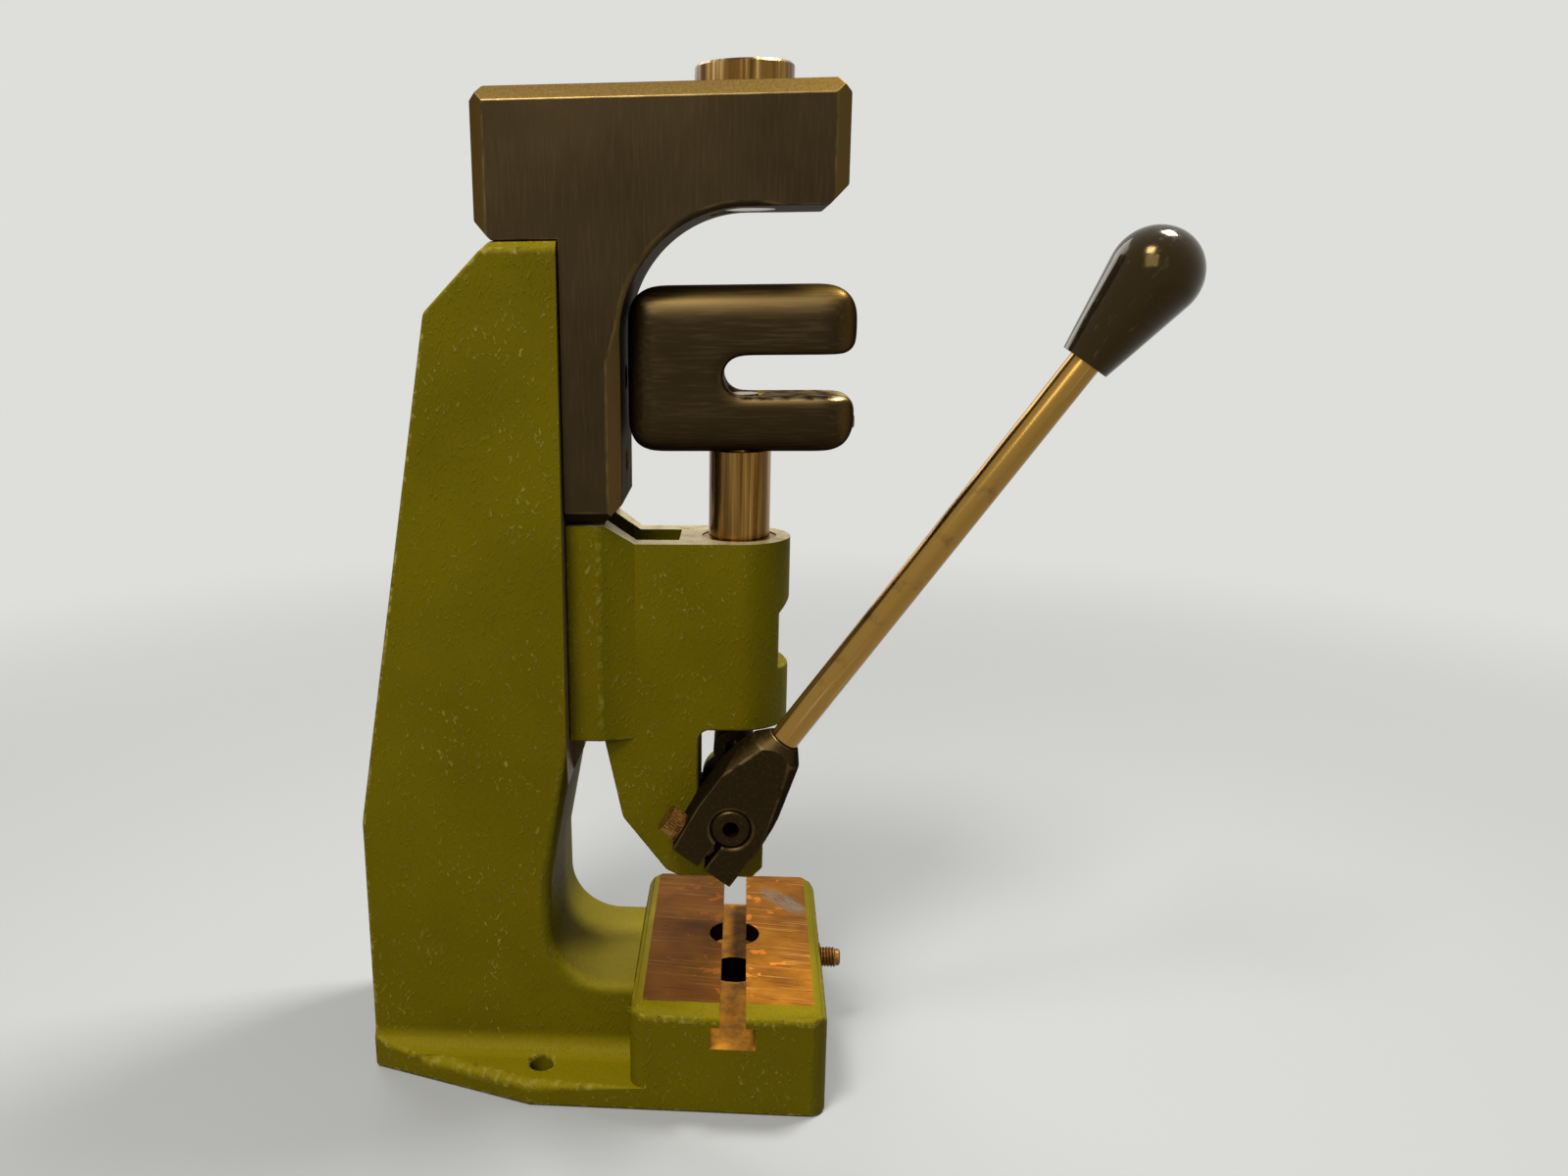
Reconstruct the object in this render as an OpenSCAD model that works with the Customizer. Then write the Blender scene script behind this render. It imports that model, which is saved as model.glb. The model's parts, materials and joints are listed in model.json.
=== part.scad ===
// Bench toggle press. A cast C-frame carries a press head that is mounted upside down, so
// that its ram works upwards against a heavy steel bracket bolted to the top of the column.
// Sizes are in millimetres. +X points to the front, +Y away from the lever, +Z up.
// The origin lies on the bench, right under the ram axis.

/* [Base] */
// Height of the machined bed above the bench
bed_height = 54.5; // [48:0.5:70]
// Width of the base across the press
base_width = 145; // [125:1:190]
// Front face of the base, measured from the ram axis
base_front = 43; // [36:0.5:60]
// Rear wall of the bed block, measured from the ram axis
block_rear = 47.5; // [38:0.5:52]
// Painted bevel round the bed
bed_bevel = 6; // [3:0.5:8]
// Corner radius of the bed block, seen from above
block_corner = 8; // [3:0.5:12]
// Thickness of the foot flange
flange_t = 12; // [8:0.5:18]
// Fillet between the column and the foot flange
foot_fillet = 11; // [4:0.5:14]
// Half width of the foot at its rear end
foot_rear_half = 46; // [45:0.5:60]
// Distance from the ram axis back to where the foot reaches its full width
foot_flare = 95; // [90:1:130]
// Diameter of the two bolt holes in the foot
foot_hole_d = 11; // [6:0.5:13]
// Distance of the foot bolt holes behind the ram axis
foot_hole_back = 91; // [80:1:105]
// Distance between the two foot bolt holes
foot_hole_span = 111; // [108:1:118]
// Bore in the bed that takes a die shank
die_bore_d = 25; // [16:0.5:28]
// Width of the T-slot's throat
slot_w = 12; // [8:0.5:14]
// Width of the T-slot's head
slot_head_w = 21; // [16:0.5:23]
// Height of the T-slot's head
slot_head_h = 11; // [7:0.5:14]
// Depth of the T-slot
slot_depth = 20.5; // [18:0.5:30]

/* [Column] */
// Distance of the machined guide face behind the ram axis
guide_face = 77.5; // [75:0.5:90]
// Depth of the column at the foot, from the guide face to the back
column_depth_foot = 98; // [80:1:130]
// Depth of the column at its top
column_depth_top = 28.5; // [24:0.5:50]
// Height up to which the back of the column is upright
column_knee = 128; // [90:1:180]
// Height and depth of the bevel at the column's upper rear corner
column_bevel = 29; // [10:0.5:40]
// Thickness of the column at its foot
column_w_foot = 88; // [80:1:90]
// Thickness of the column at its top
column_w_top = 70; // [66:1:80]
// How far the throat is cut back behind the guide face
throat_relief = 9; // [4:0.5:20]
// Bevel along the two side edges of the column's top
column_edge = 4; // [1:0.5:6]
// Radius at the bottom of the throat
throat_r = 26; // [10:1:30]
// Depth of the throat's floor below the bed
throat_drop = 6.5; // [4:0.5:20]
// Width of the guide rib at its root
rib_root_w = 31; // [24:0.5:34]
// Height of the guide rib above the guide face
rib_depth = 5.8; // [4:0.2:7]
// Flank angle of the guide rib
rib_angle = 60; // [50:1:75]

/* [Top bracket] */
// Thickness of the bracket block
bracket_w = 64; // [50:1:66]
// Height of the bracket's arm
arm_height = 48.7; // [30:0.5:70]
// Step from the top of the column up to the underside of the arm
arm_step = 12; // [8:0.5:25]
// Reach of the arm in front of the ram axis
arm_front = 43.3; // [30:0.5:60]
// How far the bracket overhangs the back of the column's top
bracket_overhang = 7; // [4:0.5:15]
// Front face of the stem, measured from the ram axis
stem_front = 51.5; // [51:0.5:56]
// Radius under the arm
arm_arc = 53; // [20:1:60]
// Bevel along the block's long edges
bracket_bevel = 6; // [2:0.5:8]
// Corner cuts at the upper ends of the block
upper_cut = 5.5; // [2:0.5:10]
// Corner cuts at the lower ends of the block
lower_cut = 8; // [3:0.5:10]
// Bevel along the front edges of the stem
stem_bevel = 6; // [2:0.5:8]
// Bevel along the lower edges of the stem
stem_foot_bevel = 5; // [2:0.5:7]
// Bevel along the edges of the radius under the arm
arc_edge = 2; // [0.5:0.25:3]
// Thread diameter of the bracket screws
bracket_screw_d = 6; // [5:1:8]
// Diameter of the round anvil in the arm
anvil_d = 42; // [30:1:56]
// Diameter of the anvil's spigot
anvil_spigot_d = 28; // [16:1:30]
// Height of the anvil above the bracket
anvil_rise = 9; // [5:0.5:20]

/* [Head] */
// Clear height between the bed and the head
under_head = 42; // [25:0.5:90]
// Height of the head casting at the ram
head_height = 162; // [158:1:185]
// Wall of the head round the ram
nose_wall = 9.5; // [9:0.5:14]
// Rise of the head's shoulder behind the ram
shoulder_rise = 9; // [4:0.5:14]
// Distance of the shoulder's front edge behind the ram axis
shoulder_back = 46.5; // [42:0.5:48]
// Half width of the rear cheeks
cheek_half = 29; // [27:0.5:33]
// Length of the cheeks, front to back
cheek_length = 15; // [13:0.5:18]
// Length of the guide, up the rear cheeks
guide_length = 101.5; // [80:0.5:110]
// Width of the cavity inside the head
cavity_w = 26; // [24:0.5:26]
// Wall at the back and bottom of the cavity
cavity_wall = 8; // [5:0.5:10]
// Depth of the flat pocket in the nose
pocket_depth = 4.7; // [1:0.1:6]
// Height of the flat pocket in the nose
pocket_height = 25; // [10:0.5:40]
// Top of the pocket below the head's top
pocket_drop = 34; // [20:0.5:45]
// Thickness of the gib strip, across the press
gib_t = 3; // [2:0.25:4]

/* [Ram and fork] */
// Diameter of the ram
ram_d = 28; // [24:0.5:30]
// Length of ram that shows above the head
ram_out = 39.5; // [34:0.5:60]
// Wall of the ram's bush
ram_bush_wall = 3; // [2:0.25:3.5]
// Length of the ram's bush
ram_bush_length = 34; // [20:1:38]
// Diameter of the ram's spigot in the fork
ram_spigot_d = 16; // [10:0.5:20]
// Length of the fork block, front to back
fork_length = 100; // [85:1:120]
// Gap between the fork and the bracket's stem
fork_gap = 1.5; // [1:0.25:3]
// Thickness of the fork block
fork_w = 45; // [40:1:60]
// Height of the fork block
fork_height = 72; // [66:1:90]
// Rounding of the fork block's edges
fork_round = 14; // [4:0.5:16]
// Height of the slot in the fork
fork_slot_h = 17.5; // [8:0.5:24]
// Thickness of the fork's lower prong
lower_prong = 25; // [18:0.5:32]
// How far the fork's slot reaches behind the ram axis
fork_slot_back = 8; // [0:0.5:12]
// Rounding of the prongs at the slot's mouth
mouth_round = 6; // [2:0.5:8]
// Clear height between the fork and the arm
work_gap = 31; // [10:0.5:60]
// Thread diameter of the fork's set screw
fork_screw_d = 6; // [4:1:8]
// Thread diameter of the die clamp screw
die_screw_d = 10; // [6:1:12]
// How far the die clamp screw stands out of the base
die_screw_out = 10; // [10:0.5:25]

/* [Toggle] */
// Distance of the lever shaft behind the ram axis
shaft_back = 2; // [0:0.5:5]
// Height of the lever shaft above the bottom of the head
shaft_rise = 36; // [32:0.5:40]
// Diameter of the lever shaft
shaft_d = 18; // [14:0.5:20]
// Wall of the shaft bushes
shaft_bush_wall = 2.5; // [1.5:0.25:3]
// Radius of the bearing eyes in the head
eye_r = 15; // [13.5:0.5:16]
// Distance from the lever shaft to the crank pin
crank_r = 25; // [24:0.5:28]
// Distance between the link's two pins
link_length = 55; // [50:0.5:60]
// Swing of the lever from its rest, in degrees
lever_swing = 70; // [30:1:75]
// Diameter of the crank pin
crank_pin_d = 10; // [8:0.5:11]
// Diameter of the wrist pin in the ram
wrist_pin_d = 8; // [6:0.5:9]
// Thickness of the link
link_w = 10; // [7:0.5:12]

/* [Lever] */
// Angle of the lever above the horizontal, in degrees
lever_angle = 55.4; // [40:0.2:75]
// Lean of the rod away from the head, in degrees
rod_lean = 4; // [0:0.5:8]
// Offset of the rod above the line through the shaft
rod_offset = 3.7; // [0:0.1:5]
// Thickness of the lever hub
hub_t = 24.5; // [20:0.5:30]
// Width of the hub at the clamp jaws
hub_w = 32; // [28:0.5:36]
// Distance from the shaft to the end of the jaws
hub_tail = 23.7; // [23:0.1:28]
// Distance from the shaft to the mouth of the rod socket
hub_reach = 47; // [42:0.5:60]
// Radius of the hub at the mouth of the rod socket
socket_r = 7.5; // [7.5:0.5:9]
// Width of the clamp slit
slit_w = 3; // [1:0.25:4]
// Thread diameter of the lever clamp screw
clamp_screw_d = 8; // [6:1:8]
// Diameter of the lever rod
rod_d = 13; // [10:0.5:14]
// Length of rod that shows between hub and grip
rod_length = 202; // [120:1:260]
// Diameter of the grip at the rod
grip_small_d = 20.5; // [18:0.5:26]
// Diameter of the grip at its dome
grip_big_d = 36; // [30:0.5:44]
// Length of the grip
grip_length = 59; // [50:1:80]

/* [Hidden] */
$fn = 96;

// Clearances: round running and screw fits, guide faces, joints between plates, room for links
fit = 0.05;
guide_gap = 0.2;
face_gap = 0.1;
side_gap = 0.3;
swing_gap = 0.6;
// Overlap that joins the pieces of one casting, and overshoot of a cut
weld = 2;
past = 1;
// Length that is longer than any cut needs
long = 400;

// Heights, from the throat's floor upwards
throat_floor = bed_height - throat_drop;
head_bottom = bed_height + under_head;
shaft_z = head_bottom + shaft_rise;
head_top = head_bottom + head_height;
shoulder_top = head_top + shoulder_rise;
cheek_bottom = shoulder_top - guide_length;
stem_gap = 1.3;
stem_bottom = shoulder_top + stem_gap;
fork_bottom = head_top + ram_out;
fork_top = fork_bottom + fork_height;
fork_slot_floor = fork_bottom + lower_prong;
fork_rear = stem_front - fork_gap;
fork_front = fork_length - fork_rear;
arm_z = fork_top + work_gap;
column_top = arm_z - arm_step;
bracket_top = arm_z + arm_height;
rib_slant = 13;
guide_run = 19;
guide_end = cheek_bottom - guide_run;

// Lengths along X
head_half = ram_d / 2 + nose_wall;
column_rear = guide_face + column_depth_foot;
column_top_rear = guide_face + column_depth_top;
throat_wall = guide_face + throat_relief;
bracket_rear = column_top_rear + bracket_overhang;
stem_rear = guide_face - guide_gap - side_gap;
cheek_rear = guide_face - guide_gap;
cheek_front = cheek_rear - cheek_length;
base_half = base_width / 2;
rib_tip_w = rib_root_w + 2 * rib_depth / tan(rib_angle);
rib_front = guide_face - rib_depth;

// Toggle, at rest a straight line from the shaft to the wrist pin
toggle_length = crank_r + link_length;
knee_lean = asin(shaft_back / toggle_length);
crank_pin_x = -shaft_back + crank_r * sin(knee_lean);
crank_pin_z = shaft_z + crank_r * cos(knee_lean);
wrist_z = shaft_z + toggle_length * cos(knee_lean);
function link_tilt(a) = asin(crank_r * sin(a) / link_length);
function ram_drop(a) = toggle_length - crank_r * cos(a) - link_length * cos(link_tilt(a));
stroke = ram_drop(lever_swing);
ram_drop_per_radian = stroke / lever_swing * 180 / PI;
link_turn_ratio = 1 + link_tilt(lever_swing) / lever_swing;
// The ram and the link follow the lever at a steady rate, so the link's upper eye leaves room
// for the difference from the true toggle motion, along and across the link
function link_angle(a) = knee_lean + a - link_turn_ratio * a;
function pin_x(a) = shaft_back - crank_r * sin(knee_lean + a);
function pin_z(a) = wrist_z - shaft_z - stroke * a / lever_swing - crank_r * cos(knee_lean + a);
function pin_along(a) = pin_x(a) * sin(link_angle(a)) + pin_z(a) * cos(link_angle(a)) - link_length;
function pin_across(a) = pin_x(a) * cos(link_angle(a)) - pin_z(a) * sin(link_angle(a));
swing_steps = 28;
swing_angles = [for (i = [0 : swing_steps]) lever_swing * i / swing_steps];
slack_along = max([for (a = swing_angles) abs(pin_along(a))]) + swing_gap;
slack_across = max([for (a = swing_angles) abs(pin_across(a))]) + swing_gap;
echo(shaft = [-shaft_back, shaft_z], crank_pin = [crank_pin_x, crank_pin_z], wrist_z = wrist_z);
echo(stroke = stroke, ram_drop_per_radian = ram_drop_per_radian, link_turn_ratio = link_turn_ratio);
echo(slack_along = slack_along, slack_across = slack_across, column_top = column_top);

// Details inside the head
eye_wall = 3.5;
link_eye_wall = 4.5;
link_eye_r = crank_pin_d / 2 + link_eye_wall;
link_bar_w = 12;
wrist_eye_r = wrist_pin_d / 2 + slack_across + eye_wall;
ram_below_wrist = 13;
ram_bottom = wrist_z - ram_below_wrist;
clevis_top = wrist_z + wrist_eye_r + slack_along + swing_gap;
shoulder_run = 13.3;
notch_room = 2.5;
notch_rear = eye_r + notch_room;
notch_rise = 38;
notch_top = shaft_z + notch_rise;
notch_corner = 5;
chamber_rise = 20;
chamber_top = notch_top + chamber_rise;
chamber_skin = 1.5;
chamber_front = head_half - pocket_depth - chamber_skin;
link_room = 3;
chamber_half = link_w / 2 + link_room;
eye_room_front = wrist_eye_r + slack_across + side_gap;
eye_room_top = wrist_z - wrist_pin_d / 2;
bore_room = 0.5;
wall_behind_ram = 13;
cavity_front = ram_d / 2 + wall_behind_ram;
groove_wall = 5.5;
cavity_rear = rib_front - guide_gap - groove_wall;
plate_rear_low = 53.5;
plate_knee = 29.5;
plate_toe = 33;
plate_toe_rise = 3;
plate_front_corner = 5;
crank_w = cavity_w - 2 * side_gap;
crank_waist = 1;
crank_arm_w = 2 * link_eye_r - 2 * crank_waist;

// Washers, ring, key and screws
washer_t = 1.3;
washer_rim = 5;
washer_d = shaft_d + 2 * washer_rim;
ring_t = 1.2;
ring_groove = 0.7;
ring_width = 4;
ring_opening = 40;
key_w = 6;
key_h = 6;
key_in_shaft = 3.5;
key_length = 20;
hub_face = head_half + washer_t + 2 * face_gap;
hub_outer = hub_face + hub_t;
shaft_near = hub_outer - side_gap;
ring_y = head_half + washer_t + 2 * face_gap;
shaft_end = 3;
shaft_far = ring_y + ring_t + shaft_end;
shaft_hole_d = 7.5;
shaft_hole_depth = 16;
shaft_chamfer = 1;
head_ratio = 5 / 3;
socket_ratio = 0.8;
screw_edge = 0.4;
bracket_screw_length = 32;
bracket_screw_sink = 12;
bracket_screw_first = 24.5;
bracket_screw_pitch = 37;
gib_screw_d = 4;
gib_screw_margin = 18;
gib_screw_count = 3;
gib_screw_sink = 0.5;
gib_screw_shift = 0.7;
gib_screw_x = guide_face - rib_depth / 2 - gib_screw_shift;
gib_back = rib_tip_w / 2 + 2 * guide_gap + gib_t;
die_screw_drop = 11.5;
die_screw_clear = 0.3;
fork_screw_clear = 0.3;
fork_screw_out = 0.6;
clamp_screw_shift = 0.6;
clamp_screw_u = (shaft_d / 2 + hub_tail) / 2 + clamp_screw_shift;
clamp_washer_t = 2;
rod_seat_wall = 6;
rod_seat = shaft_d / 2 + rod_seat_wall;
rod_shift = 1.2;
rod_plane = -(hub_face + hub_t / 2 - rod_shift);
rod_in_grip = 36;
grip_start = hub_reach + rod_length;
hub_swell = 2.5;
lip_w = 1.8;
lip_drop = 2.2;
nose_w = 5.3;
nose_drop = 6.5;
nose_slope = 0.29;

// An outline in X and Z, drawn out along Y
module side_prism(y0, y1) {
    translate([0, y1, 0])
        rotate([90, 0, 0])
            linear_extrude(y1 - y0)
                children();
}

// An outline in Y and Z, drawn out along X
module cross_prism(x0, x1) {
    translate([x0, 0, 0])
        rotate([90, 0, 90])
            linear_extrude(x1 - x0)
                children();
}

// Cylinders along X, Y and Z, from one end to the other
module round_x(x0, x1, d) {
    translate([x0, 0, 0])
        rotate([0, 90, 0])
            cylinder(d = d, h = x1 - x0);
}

module round_y(y0, y1, d) {
    translate([0, y0, 0])
        rotate([-90, 0, 0])
            cylinder(d = d, h = y1 - y0);
}

module round_z(z0, z1, d) {
    translate([0, 0, z0])
        cylinder(d = d, h = z1 - z0);
}

// A rectangle whose upper two corners are cut off
module bevelled_top(x0, x1, h, cut) {
    polygon([[x0, 0], [x1, 0], [x1, h - cut], [x1 - cut, h], [x0 + cut, h], [x0, h - cut]]);
}

// A rectangle with all four corners cut off
module bevelled_block(x0, x1, half, cut) {
    polygon([[x0, -half + cut], [x0 + cut, -half], [x1 - cut, -half], [x1, -half + cut],
             [x1, half - cut], [x1 - cut, half], [x0 + cut, half], [x0, half - cut]]);
}

// A rectangle with round corners
module rounded_block(x0, x1, half, r) {
    translate([x0 + r, -half])
        square([x1 - x0 - 2 * r, 2 * half]);
    translate([x0, -half + r])
        square([x1 - x0, 2 * half - 2 * r]);
    for (x = [x0 + r, x1 - r], y = [-half + r, half - r])
        translate([x, y])
            circle(r = r);
}

// The concave quarter between two walls that meet at the outline's origin
module fillet_corner(r) {
    difference() {
        translate([-weld, -weld])
            square([r + weld, r + weld]);
        translate([r, r])
            circle(r = r);
    }
}

// A socket head screw along X, head to the right of x = 0, with its shank to the left
module cap_screw(d, length) {
    head_d = d * head_ratio;
    difference() {
        union() {
            rotate([0, 90, 0])
                rotate_extrude()
                    polygon([[0, 0], [head_d / 2, 0], [head_d / 2, d - screw_edge],
                             [head_d / 2 - screw_edge, d], [0, d]]);
            round_x(-length, weld, d);
        }
        translate([d / 2, 0, 0])
            rotate([0, 90, 0])
                cylinder(d = d * socket_ratio * 2 / sqrt(3), h = d, $fn = 6);
    }
}

// A headless screw along X with a hexagon socket at its right end
module set_screw(x0, x1, d) {
    difference() {
        translate([x0, 0, 0])
            rotate([0, 90, 0])
                rotate_extrude()
                    polygon([[0, 0], [d / 2 - screw_edge, 0], [d / 2, screw_edge],
                             [d / 2, x1 - x0 - screw_edge], [d / 2 - screw_edge, x1 - x0], [0, x1 - x0]]);
        translate([x1 - d / 2, 0, 0])
            rotate([0, 90, 0])
                cylinder(d = d / sqrt(3), h = d, $fn = 6);
    }
}

// Frame: column, throat, foot and bed in one casting
function column_half(z) = (column_w_foot - (column_w_foot - column_w_top) * z / column_top) / 2;

module column_outline() {
    polygon([[-column_rear, 0], [-throat_wall, 0], [-throat_wall, throat_floor + 2 * throat_r],
             [-guide_face, guide_end], [-guide_face, column_top], [-column_top_rear, column_top],
             [-column_top_rear - column_bevel, column_top - column_bevel], [-column_rear, column_knee]]);
    translate([-throat_wall - weld, 0])
        square([throat_wall - block_rear + 2 * weld + bed_bevel, throat_floor]);
    translate([-throat_wall, throat_floor])
        fillet_corner(throat_r);
}

module column_section() {
    top_half = column_half(column_top);
    foot_half = column_half(flange_t + foot_fillet);
    edge_half = column_half(column_top - column_edge);
    polygon([[-column_w_foot / 2, 0], [column_w_foot / 2, 0], [edge_half, column_top - column_edge],
             [top_half - column_edge, column_top], [-top_half + column_edge, column_top],
             [-edge_half, column_top - column_edge]]);
    translate([foot_half, flange_t])
        fillet_corner(foot_fillet);
    translate([-foot_half, flange_t])
        rotate(90)
            fillet_corner(foot_fillet);
}

module foot_outline() {
    front = -block_rear + block_corner;
    polygon([[-column_rear, -foot_rear_half], [-foot_flare, -base_half], [front, -base_half],
             [front, base_half], [-foot_flare, base_half], [-column_rear, foot_rear_half]]);
}

module guide_rib() {
    intersection() {
        linear_extrude(column_top)
            polygon([[-guide_face - weld, -rib_root_w / 2], [-guide_face, -rib_root_w / 2],
                     [-rib_front, -rib_tip_w / 2], [-rib_front, rib_tip_w / 2],
                     [-guide_face, rib_root_w / 2], [-guide_face - weld, rib_root_w / 2]]);
        side_prism(-rib_tip_w, rib_tip_w)
            polygon([[-guide_face - weld, guide_end + weld], [-guide_face, guide_end],
                     [-rib_front, guide_end + rib_slant], [-rib_front, column_top],
                     [-guide_face - weld, column_top]]);
    }
}

module bed_block() {
    intersection() {
        linear_extrude(bed_height)
            rounded_block(-block_rear, base_front, base_half, block_corner);
        side_prism(-base_half, base_half)
            bevelled_top(-block_rear, base_front, bed_height, bed_bevel);
        cross_prism(-block_rear, base_front)
            bevelled_top(-base_half, base_half, bed_height, bed_bevel);
    }
}

module bed_slot() {
    side_prism(-base_half - past, base_half + past) {
        translate([-slot_w / 2, bed_height - slot_depth])
            square([slot_w, slot_depth + past]);
        translate([-slot_head_w / 2, bed_height - slot_depth])
            square([slot_head_w, slot_head_h]);
    }
}

module frame() {
    color("olivedrab")
    difference() {
        union() {
            intersection() {
                side_prism(-base_half, base_half)
                    column_outline();
                cross_prism(-column_rear, -block_rear + bed_bevel + weld)
                    column_section();
                linear_extrude(column_top)
                    foot_outline();
            }
            linear_extrude(flange_t)
                foot_outline();
            bed_block();
            guide_rib();
        }
        bed_slot();
        translate([0, 0, -past])
            cylinder(d = die_bore_d, h = bed_height + 2 * past);
        translate([0, 0, bed_height - die_screw_drop])
            round_x(0, base_front + past, die_screw_d + 2 * fit);
        for (side = [-1, 1])
            translate([-foot_hole_back, side * foot_hole_span / 2, -past])
                cylinder(d = foot_hole_d, h = flange_t + foot_fillet);
        bracket_screw_places()
            round_x(-bracket_screw_length - past, long, bracket_screw_d + 2 * fit);
    }
}

module die_clamp_screw() {
    color("peru")
    translate([0, 0, bed_height - die_screw_drop])
        set_screw(die_bore_d / 2 + die_screw_clear, base_front + die_screw_out, die_screw_d);
}

// Top bracket: arm over the ram, with a stem down the front of the column
module bracket_screw_places() {
    first_z = stem_bottom + bracket_screw_first;
    for (z = [first_z, first_z + bracket_screw_pitch])
        translate([-stem_front - bracket_screw_sink, 0, z])
            children();
}

module bracket_outline() {
    polygon([[-bracket_rear, column_top + lower_cut], [-bracket_rear + lower_cut, column_top],
             [-stem_rear, column_top], [-stem_rear, stem_bottom], [-stem_front - lower_cut, stem_bottom],
             [-stem_front, stem_bottom + lower_cut], [-stem_front, arm_z], [arm_front - lower_cut, arm_z],
             [arm_front, arm_z + lower_cut], [arm_front, bracket_top - upper_cut],
             [arm_front - upper_cut, bracket_top], [-bracket_rear + upper_cut, bracket_top],
             [-bracket_rear, bracket_top - upper_cut]]);
    translate([-stem_front, arm_z])
        rotate(-90)
            fillet_corner(arm_arc);
}

module top_bracket() {
    groove_half = rib_tip_w / 2 + side_gap;
    color("#2b2824")
    difference() {
        intersection() {
            side_prism(-bracket_w / 2, bracket_w / 2)
                bracket_outline();
            cross_prism(-bracket_rear, arm_front)
                bevelled_top(-bracket_w / 2, bracket_w / 2, bracket_top, bracket_bevel);
            linear_extrude(bracket_top)
                bevelled_block(-bracket_rear, arm_front, bracket_w / 2, bracket_bevel);
        }
        translate([-stem_rear - past, -groove_half, stem_bottom - past])
            cube([stem_rear - rib_front + side_gap + past, 2 * groove_half, column_top - stem_bottom + past]);
        bracket_screw_places() {
            round_x(-long, long, bracket_screw_d + 2 * fit);
            round_x(0, long, bracket_screw_d * head_ratio + 2 * side_gap);
        }
        round_z(arm_z - arm_arc, bracket_top + past, anvil_spigot_d + 2 * fit);
        for (side = [-1, 1])
            bracket_edges(side);
    }
}

// What the bevels take off the edges of the stem and of the radius under the arm, on one side
module bracket_edges(side) {
    arc_z = arm_z - arm_arc;
    run_out = 3 * stem_bevel;
    run_out_angle = 12;
    run_out_z = arc_z - run_out / 2;
    edge_y = side * bracket_w / 2;
    translate([-stem_front, edge_y, stem_bottom - past])
        cylinder(r = stem_bevel, h = run_out_z - stem_bottom + past, $fn = 4);
    translate([-stem_front - stem_bevel / 2, edge_y - side * stem_bevel / 2, run_out_z])
        rotate([0, run_out_angle, 45 * side])
            translate([0, -stem_bevel, 0])
                cube([2 * stem_bevel, 2 * stem_bevel, run_out]);
    translate([-stem_rear - past, edge_y, stem_bottom])
        rotate([0, 90, 0])
            cylinder(r = stem_foot_bevel, h = stem_rear - stem_front + 2 * past, $fn = 4);
    translate([arm_arc - stem_front, edge_y - side * arc_edge, arc_z])
        rotate([-90 * side, 0, 0])
            cylinder(r1 = arm_arc, r2 = arm_arc + 2 * arc_edge, h = 2 * arc_edge);
}

module bracket_screws() {
    color("dimgray")
    bracket_screw_places()
        cap_screw(bracket_screw_d, bracket_screw_length);
}

module upper_anvil() {
    anvil_edge = 1;
    color("silver")
    rotate_extrude()
        polygon([[0, arm_z], [anvil_spigot_d / 2, arm_z], [anvil_spigot_d / 2, bracket_top],
                 [anvil_d / 2, bracket_top], [anvil_d / 2, bracket_top + anvil_rise - anvil_edge],
                 [anvil_d / 2 - anvil_edge, bracket_top + anvil_rise], [0, bracket_top + anvil_rise]]);
}

// Head: guide cheeks, ram bore and the two plates that hold the lever shaft
module head_plan() {
    circle(r = head_half);
    translate([-shoulder_back, -head_half])
        square([shoulder_back, 2 * head_half]);
    polygon([[-cheek_rear, -cheek_half], [-cheek_front, -cheek_half], [-shoulder_back, -head_half],
             [-shoulder_back, head_half], [-cheek_front, cheek_half], [-cheek_rear, cheek_half]]);
}

module head_upper() {
    intersection() {
        translate([0, 0, cheek_bottom])
            linear_extrude(guide_length)
                head_plan();
        side_prism(-cheek_half, cheek_half)
            polygon([[-cheek_rear, cheek_bottom], [head_half, cheek_bottom], [head_half, head_top],
                     [-shoulder_back, head_top], [-shoulder_back - shoulder_run, shoulder_top],
                     [-cheek_rear, shoulder_top]]);
    }
}

module plate_outline() {
    front = eye_r - shaft_back;
    polygon([[-cheek_front, cheek_bottom + weld], [-plate_rear_low, head_bottom + plate_knee],
             [-plate_toe, head_bottom + plate_toe_rise], [-plate_toe + 2 * plate_toe_rise, head_bottom],
             [front - plate_front_corner, head_bottom], [front, head_bottom + plate_front_corner],
             [front, cheek_bottom + weld]]);
}

module notch_outline() {
    difference() {
        union() {
            translate([-notch_rear, shaft_z])
                square([long, notch_rise - notch_corner]);
            translate([-notch_rear + notch_corner, shaft_z])
                square([long, notch_rise]);
            translate([-notch_rear + notch_corner, notch_top - notch_corner])
                circle(r = notch_corner);
        }
        translate([-shaft_back, shaft_z])
            circle(r = eye_r);
    }
}

// Hollow of the head: open at the top behind the ram, and at the front below the nose
module cavity_outline() {
    polygon([[-cavity_rear, shoulder_top + past], [-cavity_rear, cheek_bottom + cavity_wall],
             [-cheek_front + cavity_wall, cheek_bottom],
             [-plate_rear_low + cavity_wall, head_bottom + plate_knee],
             [-plate_toe + cavity_wall, head_bottom + cavity_wall], [long, head_bottom + cavity_wall],
             [long, shaft_z], [head_half, notch_top - notch_corner], [head_half, notch_top],
             [ram_d / 2, notch_top], [ram_d / 2, chamber_top],
             [-cavity_front, chamber_top], [-cavity_front, shoulder_top + past]]);
}

module guide_groove() {
    near_tip = rib_tip_w / 2 + guide_gap;
    near_root = rib_root_w / 2 + guide_gap;
    far_root = gib_back - rib_tip_w / 2 + rib_root_w / 2;
    translate([0, 0, cheek_bottom - past])
        linear_extrude(guide_length + 2 * past)
            polygon([[-guide_face, -near_root], [-rib_front + guide_gap, -near_tip],
                     [-rib_front + guide_gap, gib_back], [-guide_face, far_root]]);
}

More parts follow.
